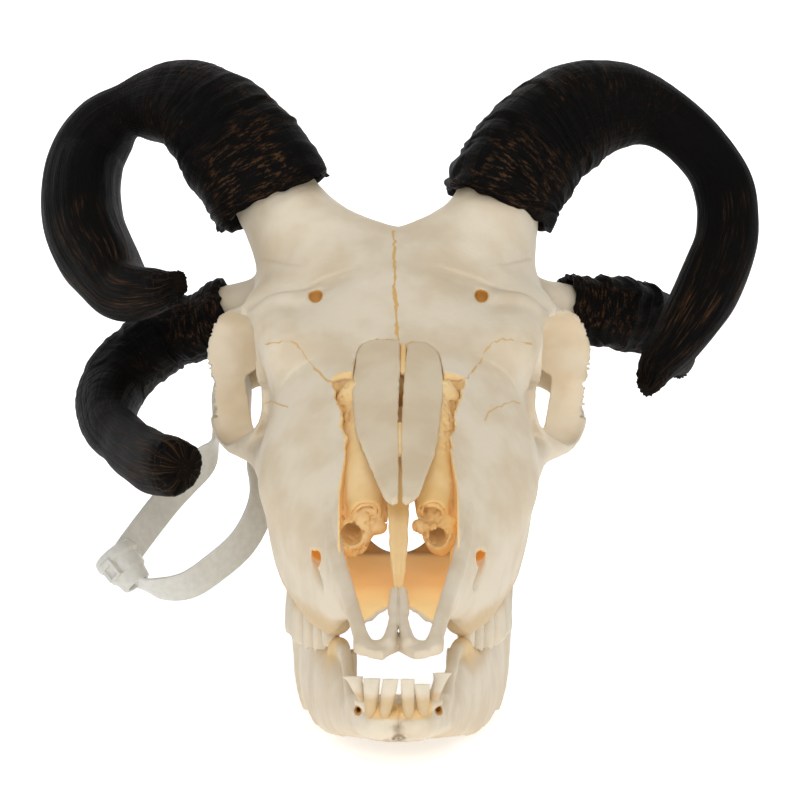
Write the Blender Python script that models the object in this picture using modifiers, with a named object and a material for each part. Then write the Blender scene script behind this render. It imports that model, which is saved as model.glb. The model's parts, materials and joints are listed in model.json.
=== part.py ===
"""Four-horned sheep skull with its lower jaw, lying on the jaw as it would rest.

All sizes are millimetres in the skull's own frame: x to the animal's left,
y backward from the front tip of the upper jaw, z up from the chewing level.
One matrix at the end turns that frame nose-down onto the floor, in metres.
"""
import math

import bmesh
import bpy
import numpy as np
from mathutils import Matrix, Vector

MM = 0.001
REST_TILT = math.radians(8.0)
GAP = 0.3
# Wider gap round a form that is melted or thinned before it meets its seat
FIT = 0.5
CORE_FIT = 1.0

RING_POINTS = 32
BONE_VOXEL = 1.3
FINE_VOXEL = 0.8
SKULL_FACES = 6000
JAW_HALF_FACES = 640
FRONT_FACES = 330
HORN_SIDES = 12

# Orbit: a ring facing outward and forward
ORBIT_CENTRE = Vector((51.5, 152.5, 59.5))
ORBIT_OUT = Vector((0.907, -0.415, 0.071)).normalized()
# Turn round the orbit from straight back in degrees, and how far its inner wall stands out
RIM_TURN = (-180, -165, -150, -135, -115, -84, -57, -36, -12, 0, 8, 20, 38, 59, 85, 105, 124, 138,
            150, 162, 180)
RIM_REACH = (21.6, 23.8, 23.0, 21.3, 20.6, 20.8, 20.6, 20.0, 20.2, 23.2, 24.3, 24.6, 23.3, 21.0,
             20.0, 20.8, 23.8, 25.6, 21.6, 17.6, 21.6)
RIM_LEAN = 0.27
BAR_THICK = 1.7
BAR_DEPTH = 11.5
ROOF_DEPTH = 14.0
WELL_DEPTH = 24.0

# Upper jaw teeth: name, place along x and y, width, length, lowest z
CROWN_TOP = 7.0
UPPER_TEETH = (
    ("p2", 17.6, 65.0, 6.0, 7.0, -5.2),
    ("p3", 21.0, 72.6, 8.0, 7.6, -7.5),
    ("p4", 24.2, 80.8, 9.4, 8.0, -9.3),
    ("m1", 26.6, 91.5, 11.6, 12.2, -10.5),
    ("m2", 28.4, 106.2, 12.4, 15.8, -11.5),
    ("m3", 28.8, 123.4, 11.6, 17.6, -11.5),
)
LOWER_DROP = 12.0
LOWER_TEETH = (
    ("p2", 15.6, 63.5, 4.4, 5.4, -6.5),
    ("p3", 18.4, 70.4, 5.4, 7.2, -8.6),
    ("p4", 20.6, 78.8, 6.2, 8.4, -10.4),
    ("m1", 22.4, 90.0, 7.0, 11.6, -11.7),
    ("m2", 23.6, 104.8, 7.4, 15.4, -12.6),
    ("m3", 24.6, 123.0, 7.2, 19.4, -12.5),
)
# Front teeth of one side: root x, root y, tip x, tip y, tip z, half width at the tip
FRONT_TEETH = (
    (2.6, 3.0, 2.4, -3.5, 2.2, 2.4),
    (6.0, 3.8, 6.9, -2.6, 1.8, 2.0),
    (10.2, 6.0, 13.4, 2.6, 1.4, 3.0),
)

# Lower jaw body: y, inner x, outer x, lowest z, highest z
JAW_SECTIONS = (
    (1.5, -13, 13, -13, -6), (3.5, -14.4, 14.4, -17.5, -4.6), (10, -14.4, 14.4, -20.4, -5.5),
    (20, -13.2, 13.2, -23, -8.5), (29, -13.8, 13.8, -25.4, -11), (34, 1.2, 14.8, -26.6, -12),
    (45, 7, 17.8, -29.5, -13.5), (62, 12, 22.4, -33.2, -12), (80, 16, 26.6, -36.6, -15),
    (100, 19, 29.8, -39.8, -17), (120, 21.5, 31.8, -42.6, -17.5), (138, 24.4, 33, -45.6, -15),
    (150, 27.4, 34, -47.6, -8),
)
# Upright branch of the lower jaw from the side, as y and z, and half its thickness
BRANCH_OUTLINE = (
    (138, -45), (150, -48.5), (158, -49.6), (166, -48.6), (175, -41), (180, -28), (183, -8),
    (186, 12), (191, 30), (189, 35), (184, 33), (180, 38), (180, 52), (176, 57), (170, 50),
    (163, 32), (156, 12), (148, -6), (138, -16),
)
BRANCH_HALF = 2.4
# Height of the floor below the front tip in the tilted frame
FLOOR_Z = -25.2

# Horn sheaths: x, y, z and radius from the base to the tip
UPPER_HORN_LEFT = (
    (30, 180.5, 106, 18.8), (35, 187, 117, 18.6), (45, 197, 129, 18.0), (58, 207, 136.5, 16.8),
    (73, 213, 138, 13.8), (86.5, 215, 133.5, 10.2), (98, 212, 124, 9.2), (105.5, 205, 112, 9.6),
    (106, 195, 97, 10.2), (99, 183, 81, 10.2), (89, 169, 68, 8.4), (81, 156, 61, 5.8),
    (77.5, 148, 56, 2.6),
)
UPPER_HORN_RIGHT = (
    (40, 180.5, 107, 20.0), (45.5, 186, 115.6, 19.8), (51.2, 192, 123.8, 19.4), (59, 200, 132.2, 17.6),
    (69, 208, 137.5, 15.0), (82.5, 214, 136, 11.8), (94.4, 215, 128.5, 11.2), (100.8, 212, 120.5, 12.0),
    (102.4, 205, 112, 13.0), (100.8, 195, 101, 13.0), (95, 183, 92, 12.2), (87, 168, 85, 9.8),
    (75, 152, 87, 7.0), (68, 144, 91, 3.4),
)
LOWER_HORN_LEFT = (
    (53.5, 187.5, 75.5, 11.0), (62, 190.5, 74, 11.0), (72, 195, 71, 10.2), (82, 204, 66, 8.8),
    (90, 216, 59, 7.0), (94, 229, 51, 4.6), (94, 238, 45, 2.4),
)
LOWER_HORN_RIGHT = (
    (53, 187, 74.5, 10.8), (63, 189.5, 70.2, 11.0), (75.2, 192, 64.4, 11.2), (86.2, 190, 56.4, 11.2),
    (92.4, 182, 48.8, 10.6), (92.4, 167, 41.4, 9.4), (87, 151, 37.4, 9.6), (77.5, 133, 36.4, 10.0),
    (70.5, 121, 37.2, 9.4), (66.8, 114.8, 38.0, 7.4), (65.6, 113, 38.3, 3.6),
)
# Bone cores of the horns: x, y, z and radius
UPPER_CORE_LEFT = ((20, 168, 84, 15.6), (25, 174, 94.5, 16), (30, 180, 105, 15.8),
                   (36, 187.5, 118, 12.4), (40, 191, 124, 8))
UPPER_CORE_RIGHT = ((22, 168, 84, 15.6), (28, 174, 94.5, 15.8), (36, 180.5, 105.5, 16),
                    (46, 187.5, 118, 12.6), (51, 192, 124, 8))
LOWER_CORE = ((33, 180, 80, 11), (44, 185, 78, 9.4), (53, 187.5, 75.8, 8.2), (60, 189, 73, 6.6),
              (65, 190, 71, 4.6))
# Brow: fills the step between the forehead and the rim of the orbit
BROW = ((35, 127, 72.5, 5.5), (39, 139, 79, 6.5), (41, 151, 82, 7), (39, 164, 87.5, 7.5))

# Tag: a flat strap that goes round the right cheek arch, and its lock
STRAP_WIDTH = 12.0
STRAP_THICK = 1.4
STRAP_AXIS = Vector((0.66, 0.38, -0.65)).normalized()
STRAP_ROUTE = (
    (-87, 151, 1), (-84, 158, 6), (-80.4, 164.5, 9.6), (-76.2, 171, 13.4), (-70.6, 178.4, 19.4),
    (-64, 185.6, 28), (-61, 190.5, 38), (-59.4, 193, 48), (-54.2, 191.4, 55.4), (-47.6, 183, 50.4),
    (-46, 172.5, 37.5), (-45.8, 162, 24), (-46.6, 152, 12.4), (-50.4, 145.4, 5.0), (-56.4, 141.4, -0.2),
    (-64, 139.6, -4.2), (-72, 140.6, -6.6), (-79.4, 144, -6.8), (-86, 149, -3),
)
LOCK_CENTRE = (-86.5, 149.5, -1.6)
LOCK_AXIS = (0.62, -0.35, -0.70)
LOCK_RADIUS = 6.4
LOCK_LENGTH = 13.5

BONE_COLOUR = (0.80, 0.72, 0.56, 1.0)
NASAL_COLOUR = (0.76, 0.70, 0.58, 1.0)
CONCHA_COLOUR = (0.80, 0.58, 0.26, 1.0)
HORN_COLOUR = (0.022, 0.014, 0.010, 1.0)
TAG_COLOUR = (0.72, 0.74, 0.74, 1.0)


def clear_scene():
    """Remove whatever the file holds."""
    for item in list(bpy.data.objects):
        bpy.data.objects.remove(item, do_unlink=True)


def collection(name):
    """A new collection linked to the scene."""
    made = bpy.data.collections.new(name)
    bpy.context.scene.collection.children.link(made)
    return made


def material(name, colour, roughness, metallic=0.0):
    """A plain Principled material."""
    made = bpy.data.materials.new(name)
    made.use_nodes = True
    shader = made.node_tree.nodes["Principled BSDF"]
    shader.inputs["Base Color"].default_value = colour
    shader.inputs["Roughness"].default_value = roughness
    shader.inputs["Metallic"].default_value = metallic
    made.diffuse_color = colour
    return made


def smooth_path(points, count):
    """Catmull-Rom points through a list, evenly spread by index."""
    keys = np.array(points, dtype=float)
    padded = np.vstack([2*keys[0] - keys[1], keys, 2*keys[-1] - keys[-2]])
    result = []
    for s in np.linspace(0, len(keys) - 1 - 1e-9, count):
        i = int(s)
        t = s - i
        a, b, c, d = padded[i:i + 4]
        result.append(0.5*(2*b + (c - a)*t + (2*a - 5*b + 4*c - d)*t**2
                           + (3*b - a - 3*c + d)*t**3))
    return np.array(result)


def from_bmesh(name, made):
    """Turn a bmesh into an object that is not linked yet."""
    bmesh.ops.recalc_face_normals(made, faces=made.faces)
    mesh = bpy.data.meshes.new(name)
    made.to_mesh(mesh)
    made.free()
    return bpy.data.objects.new(name, mesh)


def ball(centre, radii, turn=(0, 0, 0)):
    """A stretched sphere, turned about x, y and z by degrees."""
    made = bmesh.new()
    bmesh.ops.create_uvsphere(made, u_segments=20, v_segments=14, radius=1.0)
    x, y, z = (Matrix.Rotation(math.radians(a), 4, n) for a, n in zip(turn, "XYZ"))
    place = Matrix.Translation(centre) @ z @ y @ x @ Matrix.Diagonal((*radii, 1.0))
    bmesh.ops.transform(made, matrix=place, verts=made.verts)
    return from_bmesh("ball", made)


def drum(centre, axis, radius, length, sides=20):
    """A closed cylinder about an axis."""
    made = bmesh.new()
    bmesh.ops.create_cone(made, cap_ends=True, segments=sides, radius1=radius,
                          radius2=radius, depth=length)
    turn = Vector((0, 0, 1)).rotation_difference(Vector(axis)).to_matrix().to_4x4()
    bmesh.ops.transform(made, matrix=Matrix.Translation(centre) @ turn, verts=made.verts)
    return from_bmesh("drum", made)


def loft(rings):
    """A closed skin over rings with the same number of points."""
    made = bmesh.new()
    rows = [[made.verts.new(p) for p in ring] for ring in rings]
    for row, after in zip(rows, rows[1:]):
        for i, vert in enumerate(row):
            j = (i + 1) % len(row)
            made.faces.new((vert, row[j], after[j], after[i]))
    for row in (rows[0], rows[-1]):
        middle = made.verts.new(sum((v.co for v in row), Vector())/len(row))
        for i, vert in enumerate(row):
            made.faces.new((vert, row[(i + 1) % len(row)], middle))
    return from_bmesh("loft", made)


def frames_along(path, up):
    """Point, side and normal at each path point, the side kept near one direction."""
    slopes = np.gradient(path, axis=0)
    for point, slope in zip(path, slopes):
        ahead = Vector(slope).normalized()
        side = ahead.cross(Vector(up)).normalized()
        yield Vector(point), side, side.cross(ahead).normalized()


def rod(keys, grow=0.0, sides=12, count=None, up=(0.1, 0.2, 1.0), flat=1.0):
    """A tube through points (x, y, z, radius), flattened along its normal if asked."""
    steps = count or 3*len(keys)
    path = smooth_path(keys, steps)
    rings = []
    for (point, side, normal), radius in zip(frames_along(path[:, :3], up), path[:, 3]):
        r = max(radius, 0.4) + grow
        turns = [2*math.pi*k/sides for k in range(sides)]
        rings.append([point + side*(r*math.cos(a)) + normal*(r*flat*math.sin(a))
                      for a in turns])
    return loft(rings)


def ring_section(y, middle, half):
    """A full outline at one y from half an outline, evenly spread by angle about its middle."""
    line = smooth_path(half, 60)
    line[0, 0] = 0.0
    line[-1, 0] = 0.0
    angle = np.arctan2(line[:, 0], line[:, 1] - middle)
    reach = np.hypot(line[:, 0], line[:, 1] - middle)
    order = np.argsort(angle)
    ring = []
    for k in range(RING_POINTS):
        turn = 2*math.pi*k/RING_POINTS
        side = 1.0 if turn <= math.pi else -1.0
        seen = turn if side > 0 else 2*math.pi - turn
        r = float(np.interp(seen, angle[order], reach[order]))
        ring.append(Vector((side*r*math.sin(seen), y, middle + r*math.cos(seen))))
    return ring


def mirrored(item):
    """A copy of an object on the other side of the middle plane."""
    copy = item.data.copy()
    copy.transform(Matrix.Diagonal((-1, 1, 1, 1)))
    copy.flip_normals()
    return bpy.data.objects.new(item.name, copy)


def both(item):
    """An object and its mirror image."""
    return [item, mirrored(item)]


def joined(name, items, home):
    """One linked object with the faces of many."""
    made = bmesh.new()
    for item in items:
        made.from_mesh(item.data)
        mesh = item.data
        bpy.data.objects.remove(item)
        bpy.data.meshes.remove(mesh)
    whole = from_bmesh_kept(name, made)
    home.objects.link(whole)
    return whole


def from_bmesh_kept(name, made):
    """Turn a bmesh into an object, leaving its normals as they are."""
    mesh = bpy.data.meshes.new(name)
    made.to_mesh(mesh)
    made.free()
    return bpy.data.objects.new(name, mesh)


def settle(item):
    """Apply every modifier and keep the largest closed surface."""
    graph = bpy.context.evaluated_depsgraph_get()
    mesh = bpy.data.meshes.new_from_object(item.evaluated_get(graph))
    item.modifiers.clear()
    item.data = mesh
    made = bmesh.new()
    made.from_mesh(mesh)
    bmesh.ops.remove_doubles(made, verts=made.verts, dist=0.0001)
    keep_largest(made)
    made.to_mesh(mesh)
    made.free()
    return item


def keep_largest(made):
    """Delete all but the largest connected surface."""
    left = set(made.verts)
    best = []
    while left:
        first = left.pop()
        island = [first]
        for vert in island:
            for edge in vert.link_edges:
                other = edge.other_vert(vert)
                if other in left:
                    left.discard(other)
                    island.append(other)
        if len(island) > len(best):
            best = island
    kept = set(best)
    bmesh.ops.delete(made, geom=[v for v in made.verts if v not in kept], context="VERTS")


def melt(item, voxel, smoothing):
    """Fuse overlapping closed forms into one skin with soft joins."""
    remesh = item.modifiers.new("fuse", "REMESH")
    remesh.mode = "VOXEL"
    remesh.voxel_size = voxel
    smooth = item.modifiers.new("soften", "SMOOTH")
    smooth.factor = 0.5
    smooth.iterations = smoothing
    return settle(item)


def cut(item, tools, shop, operation="DIFFERENCE", solver="EXACT"):
    """Boolean an item with a list of closed tools, one at a time."""
    for tool in tools:
        shop.objects.link(tool)
        tool.hide_render = True
        tool.display_type = "WIRE"
        step = item.modifiers.new("cut", "BOOLEAN")
        step.operation = operation
        step.solver = solver
        step.object = tool
    settle(item)
    for tool in tools:
        mesh = tool.data
        bpy.data.objects.remove(tool)
        bpy.data.meshes.remove(mesh)
    return item


def fuse_teeth(item, teeth, shop):
    """Union a collection of teeth into the jaw that holds them."""
    for tooth in teeth:
        shop.objects.link(tooth)
    step = item.modifiers.new("teeth", "BOOLEAN")
    step.operation = "UNION"
    step.operand_type = "COLLECTION"
    step.solver = "MANIFOLD"
    step.collection = shop
    settle(item)
    for tooth in teeth:
        mesh = tooth.data
        bpy.data.objects.remove(tooth)
        bpy.data.meshes.remove(mesh)
    return item


def thin(item, faces):
    """Bring a mesh down to about so many triangles."""
    now = sum(len(p.vertices) - 2 for p in item.data.polygons)
    if now > faces:
        step = item.modifiers.new("thin", "DECIMATE")
        step.ratio = faces/now
        step.use_collapse_triangulate = True
        settle(item)
    return item


def face_stations():
    """Outlines of the snout and cheeks: y, middle z, then (x, z) from crown to palate."""
    return (
        (28, 17, ((0, 24), (8, 24), (14, 23), (17, 19.5), (16, 13.5), (11, 11), (0, 10.5))),
        (45, 22, ((0, 38), (10, 37), (16.5, 31), (19.5, 24), (18.5, 14), (13.5, 8), (0, 9))),
        (62, 26, ((0, 52), (11, 50), (18.5, 41), (24, 30), (26, 18), (23.5, 5), (18, 2.5),
                  (13, 7), (0, 9))),
        (78, 30, ((0, 62), (11, 60), (18.5, 54), (29, 42), (34.4, 29), (32, 14), (28, 0.5),
                  (19, 0), (13, 6.5), (0, 8.5))),
        (95, 34, ((0, 69), (11, 68), (19, 65), (32, 54), (41.5, 38), (39, 24), (32.5, 2),
                  (22, -1.5), (15, 6), (0, 8))),
        (110, 36, ((0, 75), (12, 74), (22, 71.5), (34.5, 62), (42.2, 44), (41, 26), (35.5, 3),
                   (23, -2.5), (15, 5), (0, 7))),
        (124, 40, ((0, 83), (14, 82), (28, 77.5), (37, 70), (41, 54), (43.5, 38), (38, 12),
                   (34.5, -1), (23, -3), (14, 4), (0, 6))),
        (137, 42, ((0, 91), (15, 90), (28, 84.5), (37.5, 79), (40.5, 66), (40.5, 46), (34, 22),
                   (27, 4), (19, 3), (13, 9), (0, 12))),
    )


def braincase_stations():
    """Outlines of the forehead and braincase, in the same form."""
    return (
        (148, 70, ((0, 97.5), (14, 96.5), (28, 91), (40, 83.5), (46, 80), (44, 76), (33, 71),
                   (24, 62), (19, 48), (13, 35), (0, 31))),
        (160, 74, ((0, 103.2), (14, 104), (28, 100.5), (39, 91), (47, 82), (45, 77), (36, 72),
                   (28, 62), (23, 48), (15, 34), (0, 30))),
        (172, 74, ((0, 104.2), (13, 107), (26, 107.5), (37, 99), (43, 88), (39, 77), (34, 68),
                   (31, 58), (27, 46), (18, 33), (0, 28))),
        (185, 68, ((0, 97.5), (13, 99.5), (25, 101.5), (36, 96), (40, 85), (37, 76), (34, 66),
                   (33, 56), (30, 44), (20, 31), (0, 25))),
        (198, 60, ((0, 89), (13, 89), (26, 86), (35, 76), (36, 64), (35, 54), (36, 44),
                   (30, 33), (18, 24), (0, 22))),
        (210, 55, ((0, 78), (14, 78), (27, 74), (36, 62), (37, 50), (34, 38), (24, 28),
                   (12, 24), (0, 23))),
        (217, 50, ((0, 70), (12, 69), (22, 63), (27, 52), (24, 40), (16, 30), (0, 27))),
    )


def orbit_point(turn, depth, outside=0.0):
    """A point on the inner wall of the orbit, or outside it: turn in degrees, depth inward."""
    up = (Vector((0, 0, 1)) - ORBIT_OUT*ORBIT_OUT.z).normalized()
    back = up.cross(ORBIT_OUT).normalized()
    reach = float(np.interp(turn, RIM_TURN, RIM_REACH)) + outside
    evened = min(max(depth/10.0, 0.0), 1.0)*0.8
    reach += (21.5 - reach)*evened - RIM_LEAN*depth
    a = math.radians(turn)
    return ORBIT_CENTRE + back*(reach*math.cos(a)) + up*(reach*math.sin(a)) - ORBIT_OUT*depth


def orbit_rims():
    """The rim of the orbit and the bar behind the eye, which deepens into its roof."""
    parts = []
    for depth in np.arange(0.6, BAR_DEPTH + ROOF_DEPTH, BAR_THICK*1.5):
        first, last = -80, 125
        if depth < 1:
            first, last = -180, 180
        elif depth > BAR_DEPTH:
            first = 10
        count = (last - first)//8
        keys = [(*orbit_point(turn, depth, BAR_THICK), BAR_THICK)
                for turn in np.linspace(first, last, count)]
        parts += both(rod(keys, sides=8, count=2*count, up=ORBIT_OUT))
    return parts


def orbit_well():
    """The hollow of the eye, from outside the rim to its narrow inner end."""
    rings = []
    for depth in (-9, -4, 0, 4, 8, 12, 16, 20, WELL_DEPTH):
        inset = -0.05*max(depth - 12, 0)**2
        rings.append([orbit_point(a, depth, inset) for a in np.linspace(-180, 180, 37)[:-1]])
    return loft(rings)


def skull_forms():
    """Every closed form that melts into the one-piece skull."""
    rings = [ring_section(*s) for s in face_stations() + braincase_stations()]
    parts = [loft(rings)]
    parts += orbit_rims()
    parts += both(rod(BROW))
    arch = ((40, 126, 37, 5.4), (44.4, 138, 39, 4.6), (50, 150, 41.5, 3.8), (55.5, 163, 43, 3.6),
            (55.5, 178, 44, 3.8), (50, 190, 44.5, 4.4), (40, 199, 47, 6))
    parts += both(rod(arch))
    parts.append(rod(UPPER_CORE_LEFT, sides=20))
    parts.append(rod([(-x, y, z, r) for x, y, z, r in UPPER_CORE_RIGHT], sides=20))
    parts += both(rod(LOWER_CORE, sides=16))
    parts += both(ball((38, 194, 42), (9, 9, 6)))
    parts += both(ball((12, 220, 33), (8.5, 8, 11), (20, 0, 0)))
    parts += both(rod(((27, 206, 34, 6), (28, 208, 20, 4), (27, 209, 8, 2.2))))
    parts += both(ball((19, 194, 18), (7, 11, 9)))
    parts.append(ball((0, 198, 24.5), (11, 24, 6)))
    parts.append(rod(((-32, 209, 62, 3.4), (0, 215, 77, 3.4), (32, 209, 62, 3.4)), count=16))
    parts += both(ball((13, 140, 19), (2.8, 27, 15), (-8, 0, 0)))
    return parts


def nose_hollow(shrink):
    """The open space of the nose in front of the forehead."""
    floor = ((12, 12, 15), (28, 13.2, 15.5), (45, 15, 15), (62, 17.5, 14.5), (80, 17.8, 13.5),
             (94, 15.8, 12.5), (104, 13, 12))
    rings = []
    for y, reach, level in floor:
        half = reach - shrink
        low = level + shrink
        rings.append([Vector((x, y, z)) for x, z in (
            (half*0.8, low), (half, low + 4), (half, 60), (half, 120), (-half, 120),
            (-half, 60), (-half, low + 4), (-half*0.8, low))])
    return loft(rings)


def skull_cutters():
    """Hollows of the skull: nose, choana, orbits and the hole for the spinal cord."""
    tunnel = ((0, 88, 30, 14), (0, 112, 25, 12.5), (0, 136, 15, 11.5), (0, 168, 2, 10.5))
    cord = rod(((0, 203, 44, 7), (0, 214, 42, 8.5), (0, 232, 38, 10)))
    return [nose_hollow(0.0), rod(tunnel, sides=20), cord] + both(orbit_well())


def tooth(x, y, width, length, crown, root):
    """One cheek tooth: a rounded block from its chewing face, narrowing into its root."""
    rings = []
    way = math.copysign(1.0, root - crown)
    for z, swell in ((crown, 0.86), (crown + 1.2*way, 1.0), (root - 2*way, 0.96), (root, 0.78)):
        ring = []
        for k in range(8):
            a = 2*math.pi*(k + 0.5)/8
            cx = math.copysign(abs(math.cos(a))**0.6, math.cos(a))
            cy = math.copysign(abs(math.sin(a))**0.6, math.sin(a))
            ring.append(Vector((x + 0.5*width*swell*cx, y + 0.5*length*swell*cy, z)))
        rings.append(ring)
    return loft(rings)


def jaw_region(grow):
    """A prism that holds the toothed upper jaw: its back edge, seen from the side, is the seam."""
    seam = ((97, 74), (101, 66), (117, 52), (126, 36), (133, 28), (139, 10), (150, 0), (150, -40))
    outline = [(10, -40), (10, 80)] + [(y + grow, z + grow) for y, z in seam]
    return loft([[Vector((x, y, z)) for y, z in outline] for x in (-90, 90)])


def vomer():
    """The upright plate in the middle of the nose."""
    outline = ((31, 13), (36, 24), (50, 36), (66, 47), (84, 55), (104, 60), (116, 50),
               (120, 36), (112, 20), (100, 10))
    rings = [[Vector((x, y, z)) for y, z in outline] for x in (-2.2, 2.2)]
    return loft(rings)


def nasal_skin(side, grow=0.0):
    """One nose bone: a plate that curves down at its outer edge and narrows forward."""
    stations = ((39, 1.2, 3.6, 44.0), (44, 0.9, 5.0, 46.6), (52, 0.8, 7.2, 50.6),
                (64, 0.7, 9.8, 56.4), (78, 0.6, 12.4, 62.8), (90, 0.5, 14.2, 68.2),
                (101, 0.4, 14.4, 72.6), (108, 0.4, 13.6, 75.4), (113, 0.4, 12.2, 77.6),
                (116, 0.6, 8.6, 79.0))
    thick = 2.4
    rings = []
    for y, inner, outer, crown in stations:
        top = []
        low = []
        for t in np.linspace(0, 1, 6):
            x = inner - grow + (outer - inner + 2*grow)*t
            z = crown - 0.028*x*x
            top.append(Vector((side*x, y, z + grow)))
            low.append(Vector((side*x, y, z - thick - grow)))
        rings.append(top + low[::-1])
    if grow:
        rings[0] = [p + Vector((0, -grow, 0)) for p in rings[0]]
        rings[-1] = [p + Vector((0, grow, 0)) for p in rings[-1]]
    return loft(rings)


def premaxilla_forms(side, grow=0.0):
    """One front bone: the outer bar, the inner rod and the flat plate at the tip."""
    outer = ((9.0, 2.5, 9.4, 2.4), (10.6, 8, 12.2, 2.5), (12.8, 18, 16, 2.6), (15.2, 30, 20.2, 2.7),
             (17.6, 44, 25.5, 2.8), (19.4, 56, 31, 2.4), (20.2, 64, 37, 1.8))
    inner = ((3.6, 3, 9.6, 1.8), (2.5, 10, 11.8, 1.5), (2.2, 22, 15, 1.5), (2.3, 34, 18, 1.5))
    parts = [rod([(side*x, y, z, r) for x, y, z, r in outer], grow, sides=10)]
    parts.append(rod([(side*x, y, z, r) for x, y, z, r in inner], grow, sides=8))
    parts.append(ball((side*7.4, 2.6, 9.2), (5.4 + grow, 3.6 + grow, 1.9 + grow)))
    return parts


def concha(side):
    """One rolled turbinate, standing on the wall of the nose."""
    start = Vector((11.0, 61, 26.5))
    end = Vector((10.4, 97, 49))
    rings = []
    for s in np.linspace(0, 1, 7):
        middle = start.lerp(end, s)
        scale = 0.8 + 0.5*math.sin(math.pi*min(1.0, s + 0.15))
        outer = []
        inner = []
        for a in np.linspace(-40, 400, 15):
            turn = math.radians(a)
            reach = (6.3 - 0.0086*(a + 40))*scale
            across = Vector((math.cos(turn), 0, math.sin(turn)*1.35))
            outer.append(middle + across*reach)
            inner.append(middle + across*(reach - 1.1))
        rings.append([Vector((side*p.x, p.y, p.z)) for p in outer + inner[::-1]])
    return loft(rings)


def mandible_forms():
    """The left half of the lower jaw: the toothed body, the upright branch and its tips."""
    rings = []
    for y, inner, outer, low, high in JAW_SECTIONS:
        ring = []
        for k in range(16):
            a = 2*math.pi*k/16
            cx = math.copysign(abs(math.cos(a))**0.75, math.cos(a))
            cz = math.copysign(abs(math.sin(a))**0.75, math.sin(a))
            ring.append(Vector(((inner + outer)/2 + (outer - inner)/2*cx, y,
                                (low + high)/2 + (high - low)/2*cz)))
        rings.append(ring)
    branch = []
    for offset in (-BRANCH_HALF, BRANCH_HALF):
        branch.append([Vector((29.4 + 0.09*(z + 46) + offset, y, z)) for y, z in BRANCH_OUTLINE])
    return [loft(rings), loft(branch), ball((39.5, 187.5, 33.5), (8.5, 4.4, 3.6))]


def front_tooth(root_x, root_y, tip_x, tip_y, tip_z, half, side):
    """One lower front tooth: a narrow neck that widens to a thin edge."""
    root = Vector((root_x*0.9, root_y + 3, -11))
    neck = Vector((root_x, root_y, -5.5))
    tip = Vector((tip_x, tip_y, tip_z))
    sizes = ((root, 1.3, 1.5), (neck, 1.5, 1.5), (neck.lerp(tip, 0.5), 0.5*(half + 1.5), 1.3),
             (tip, half, 0.5))
    rings = []
    for middle, wide, deep in sizes:
        ring = []
        for k in range(8):
            a = 2*math.pi*k/8
            ring.append(Vector((side*(middle.x + wide*math.cos(a)),
                                middle.y + deep*math.sin(a), middle.z)))
        rings.append(ring)
    return loft(rings)


def horn_skin(keys, side, sides, count, grow=0.0):
    """One horn sheath: a keeled tube with rings near its base."""
    path = smooth_path(keys, count)
    rings = []
    frames = list(frames_along(path[:, :3]*np.array((side, 1, 1)), (0.3*side, -0.9, 0.35)))
    for i, ((point, across, normal), radius) in enumerate(zip(frames, path[:, 3])):
        far = i/(count - 1)
        ridge = 1.0 + 0.018*(1 - far)*math.sin(i*2.1)
        ring = []
        for k in range(sides):
            a = 2*math.pi*k/sides
            keel = 1.0 + 0.05*math.cos(3*a)
            r = (max(radius, 1.0) + grow)*ridge*keel
            ring.append(point + across*(r*math.cos(a)) + normal*(0.9*r*math.sin(a)))
        rings.append(ring)
    return loft(rings)


def strap_skin():
    """The flat strap, swept round the arch with its width along the hoop's axis."""
    path = smooth_path(STRAP_ROUTE, 46)
    slopes = np.gradient(path, axis=0)
    rings = []
    for point, slope in zip(path, slopes):
        ahead = Vector(slope).normalized()
        wide = (STRAP_AXIS - ahead*STRAP_AXIS.dot(ahead)).normalized()
        out = ahead.cross(wide).normalized()
        a = wide*(STRAP_WIDTH/2)
        b = out*(STRAP_THICK/2)
        centre = Vector(point)
        rings.append([centre + a + b, centre - a + b, centre - a - b, centre + a - b])
    return loft(rings)


def nose_tools():
    """Both nose bones, grown by the gap, to cut their seats."""
    return [nasal_skin(1, GAP), nasal_skin(-1, GAP)]


def make_skull(home, shop):
    """Cranium and toothed upper jaw: one bone, parted along the cheek seam."""
    whole = melt(joined("cranium", skull_forms(), home), BONE_VOXEL, 6)
    cut(whole, skull_cutters(), shop)
    melt(whole, BONE_VOXEL, 1)
    thin(whole, SKULL_FACES)
    jaw = whole.copy()
    jaw.data = whole.data.copy()
    jaw.name = "upper_jaw"
    home.objects.link(jaw)
    cut(whole, [jaw_region(GAP)] + nose_tools(), shop)
    cut(jaw, [jaw_region(0.0)], shop, "INTERSECT")
    cut(jaw, [vomer()], shop, "UNION")
    fronts = premaxilla_forms(1, FIT) + premaxilla_forms(-1, FIT)
    cut(jaw, fronts + nose_tools(), shop)
    teeth = []
    for name, x, y, width, length, low in UPPER_TEETH:
        teeth += both(tooth(x, y, width, length - GAP, low, CROWN_TOP))
    fuse_teeth(jaw, teeth, shop)
    return [whole, jaw]


def make_small_bones(home, shop):
    """Nose bones, front bones and turbinates, each side its own node."""
    made = []
    for side, word in ((1, "left"), (-1, "right")):
        nasal = joined("nasal_" + word, [nasal_skin(side)], home)
        front = melt(joined("premaxilla_" + word, premaxilla_forms(side), home), FINE_VOXEL, 1)
        thin(front, FRONT_FACES)
        roll = joined("turbinate_" + word, [concha(side)], home)
        cut(roll, [nose_hollow(FIT)], shop, "INTERSECT")
        made += [nasal, front, roll]
    return made


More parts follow.
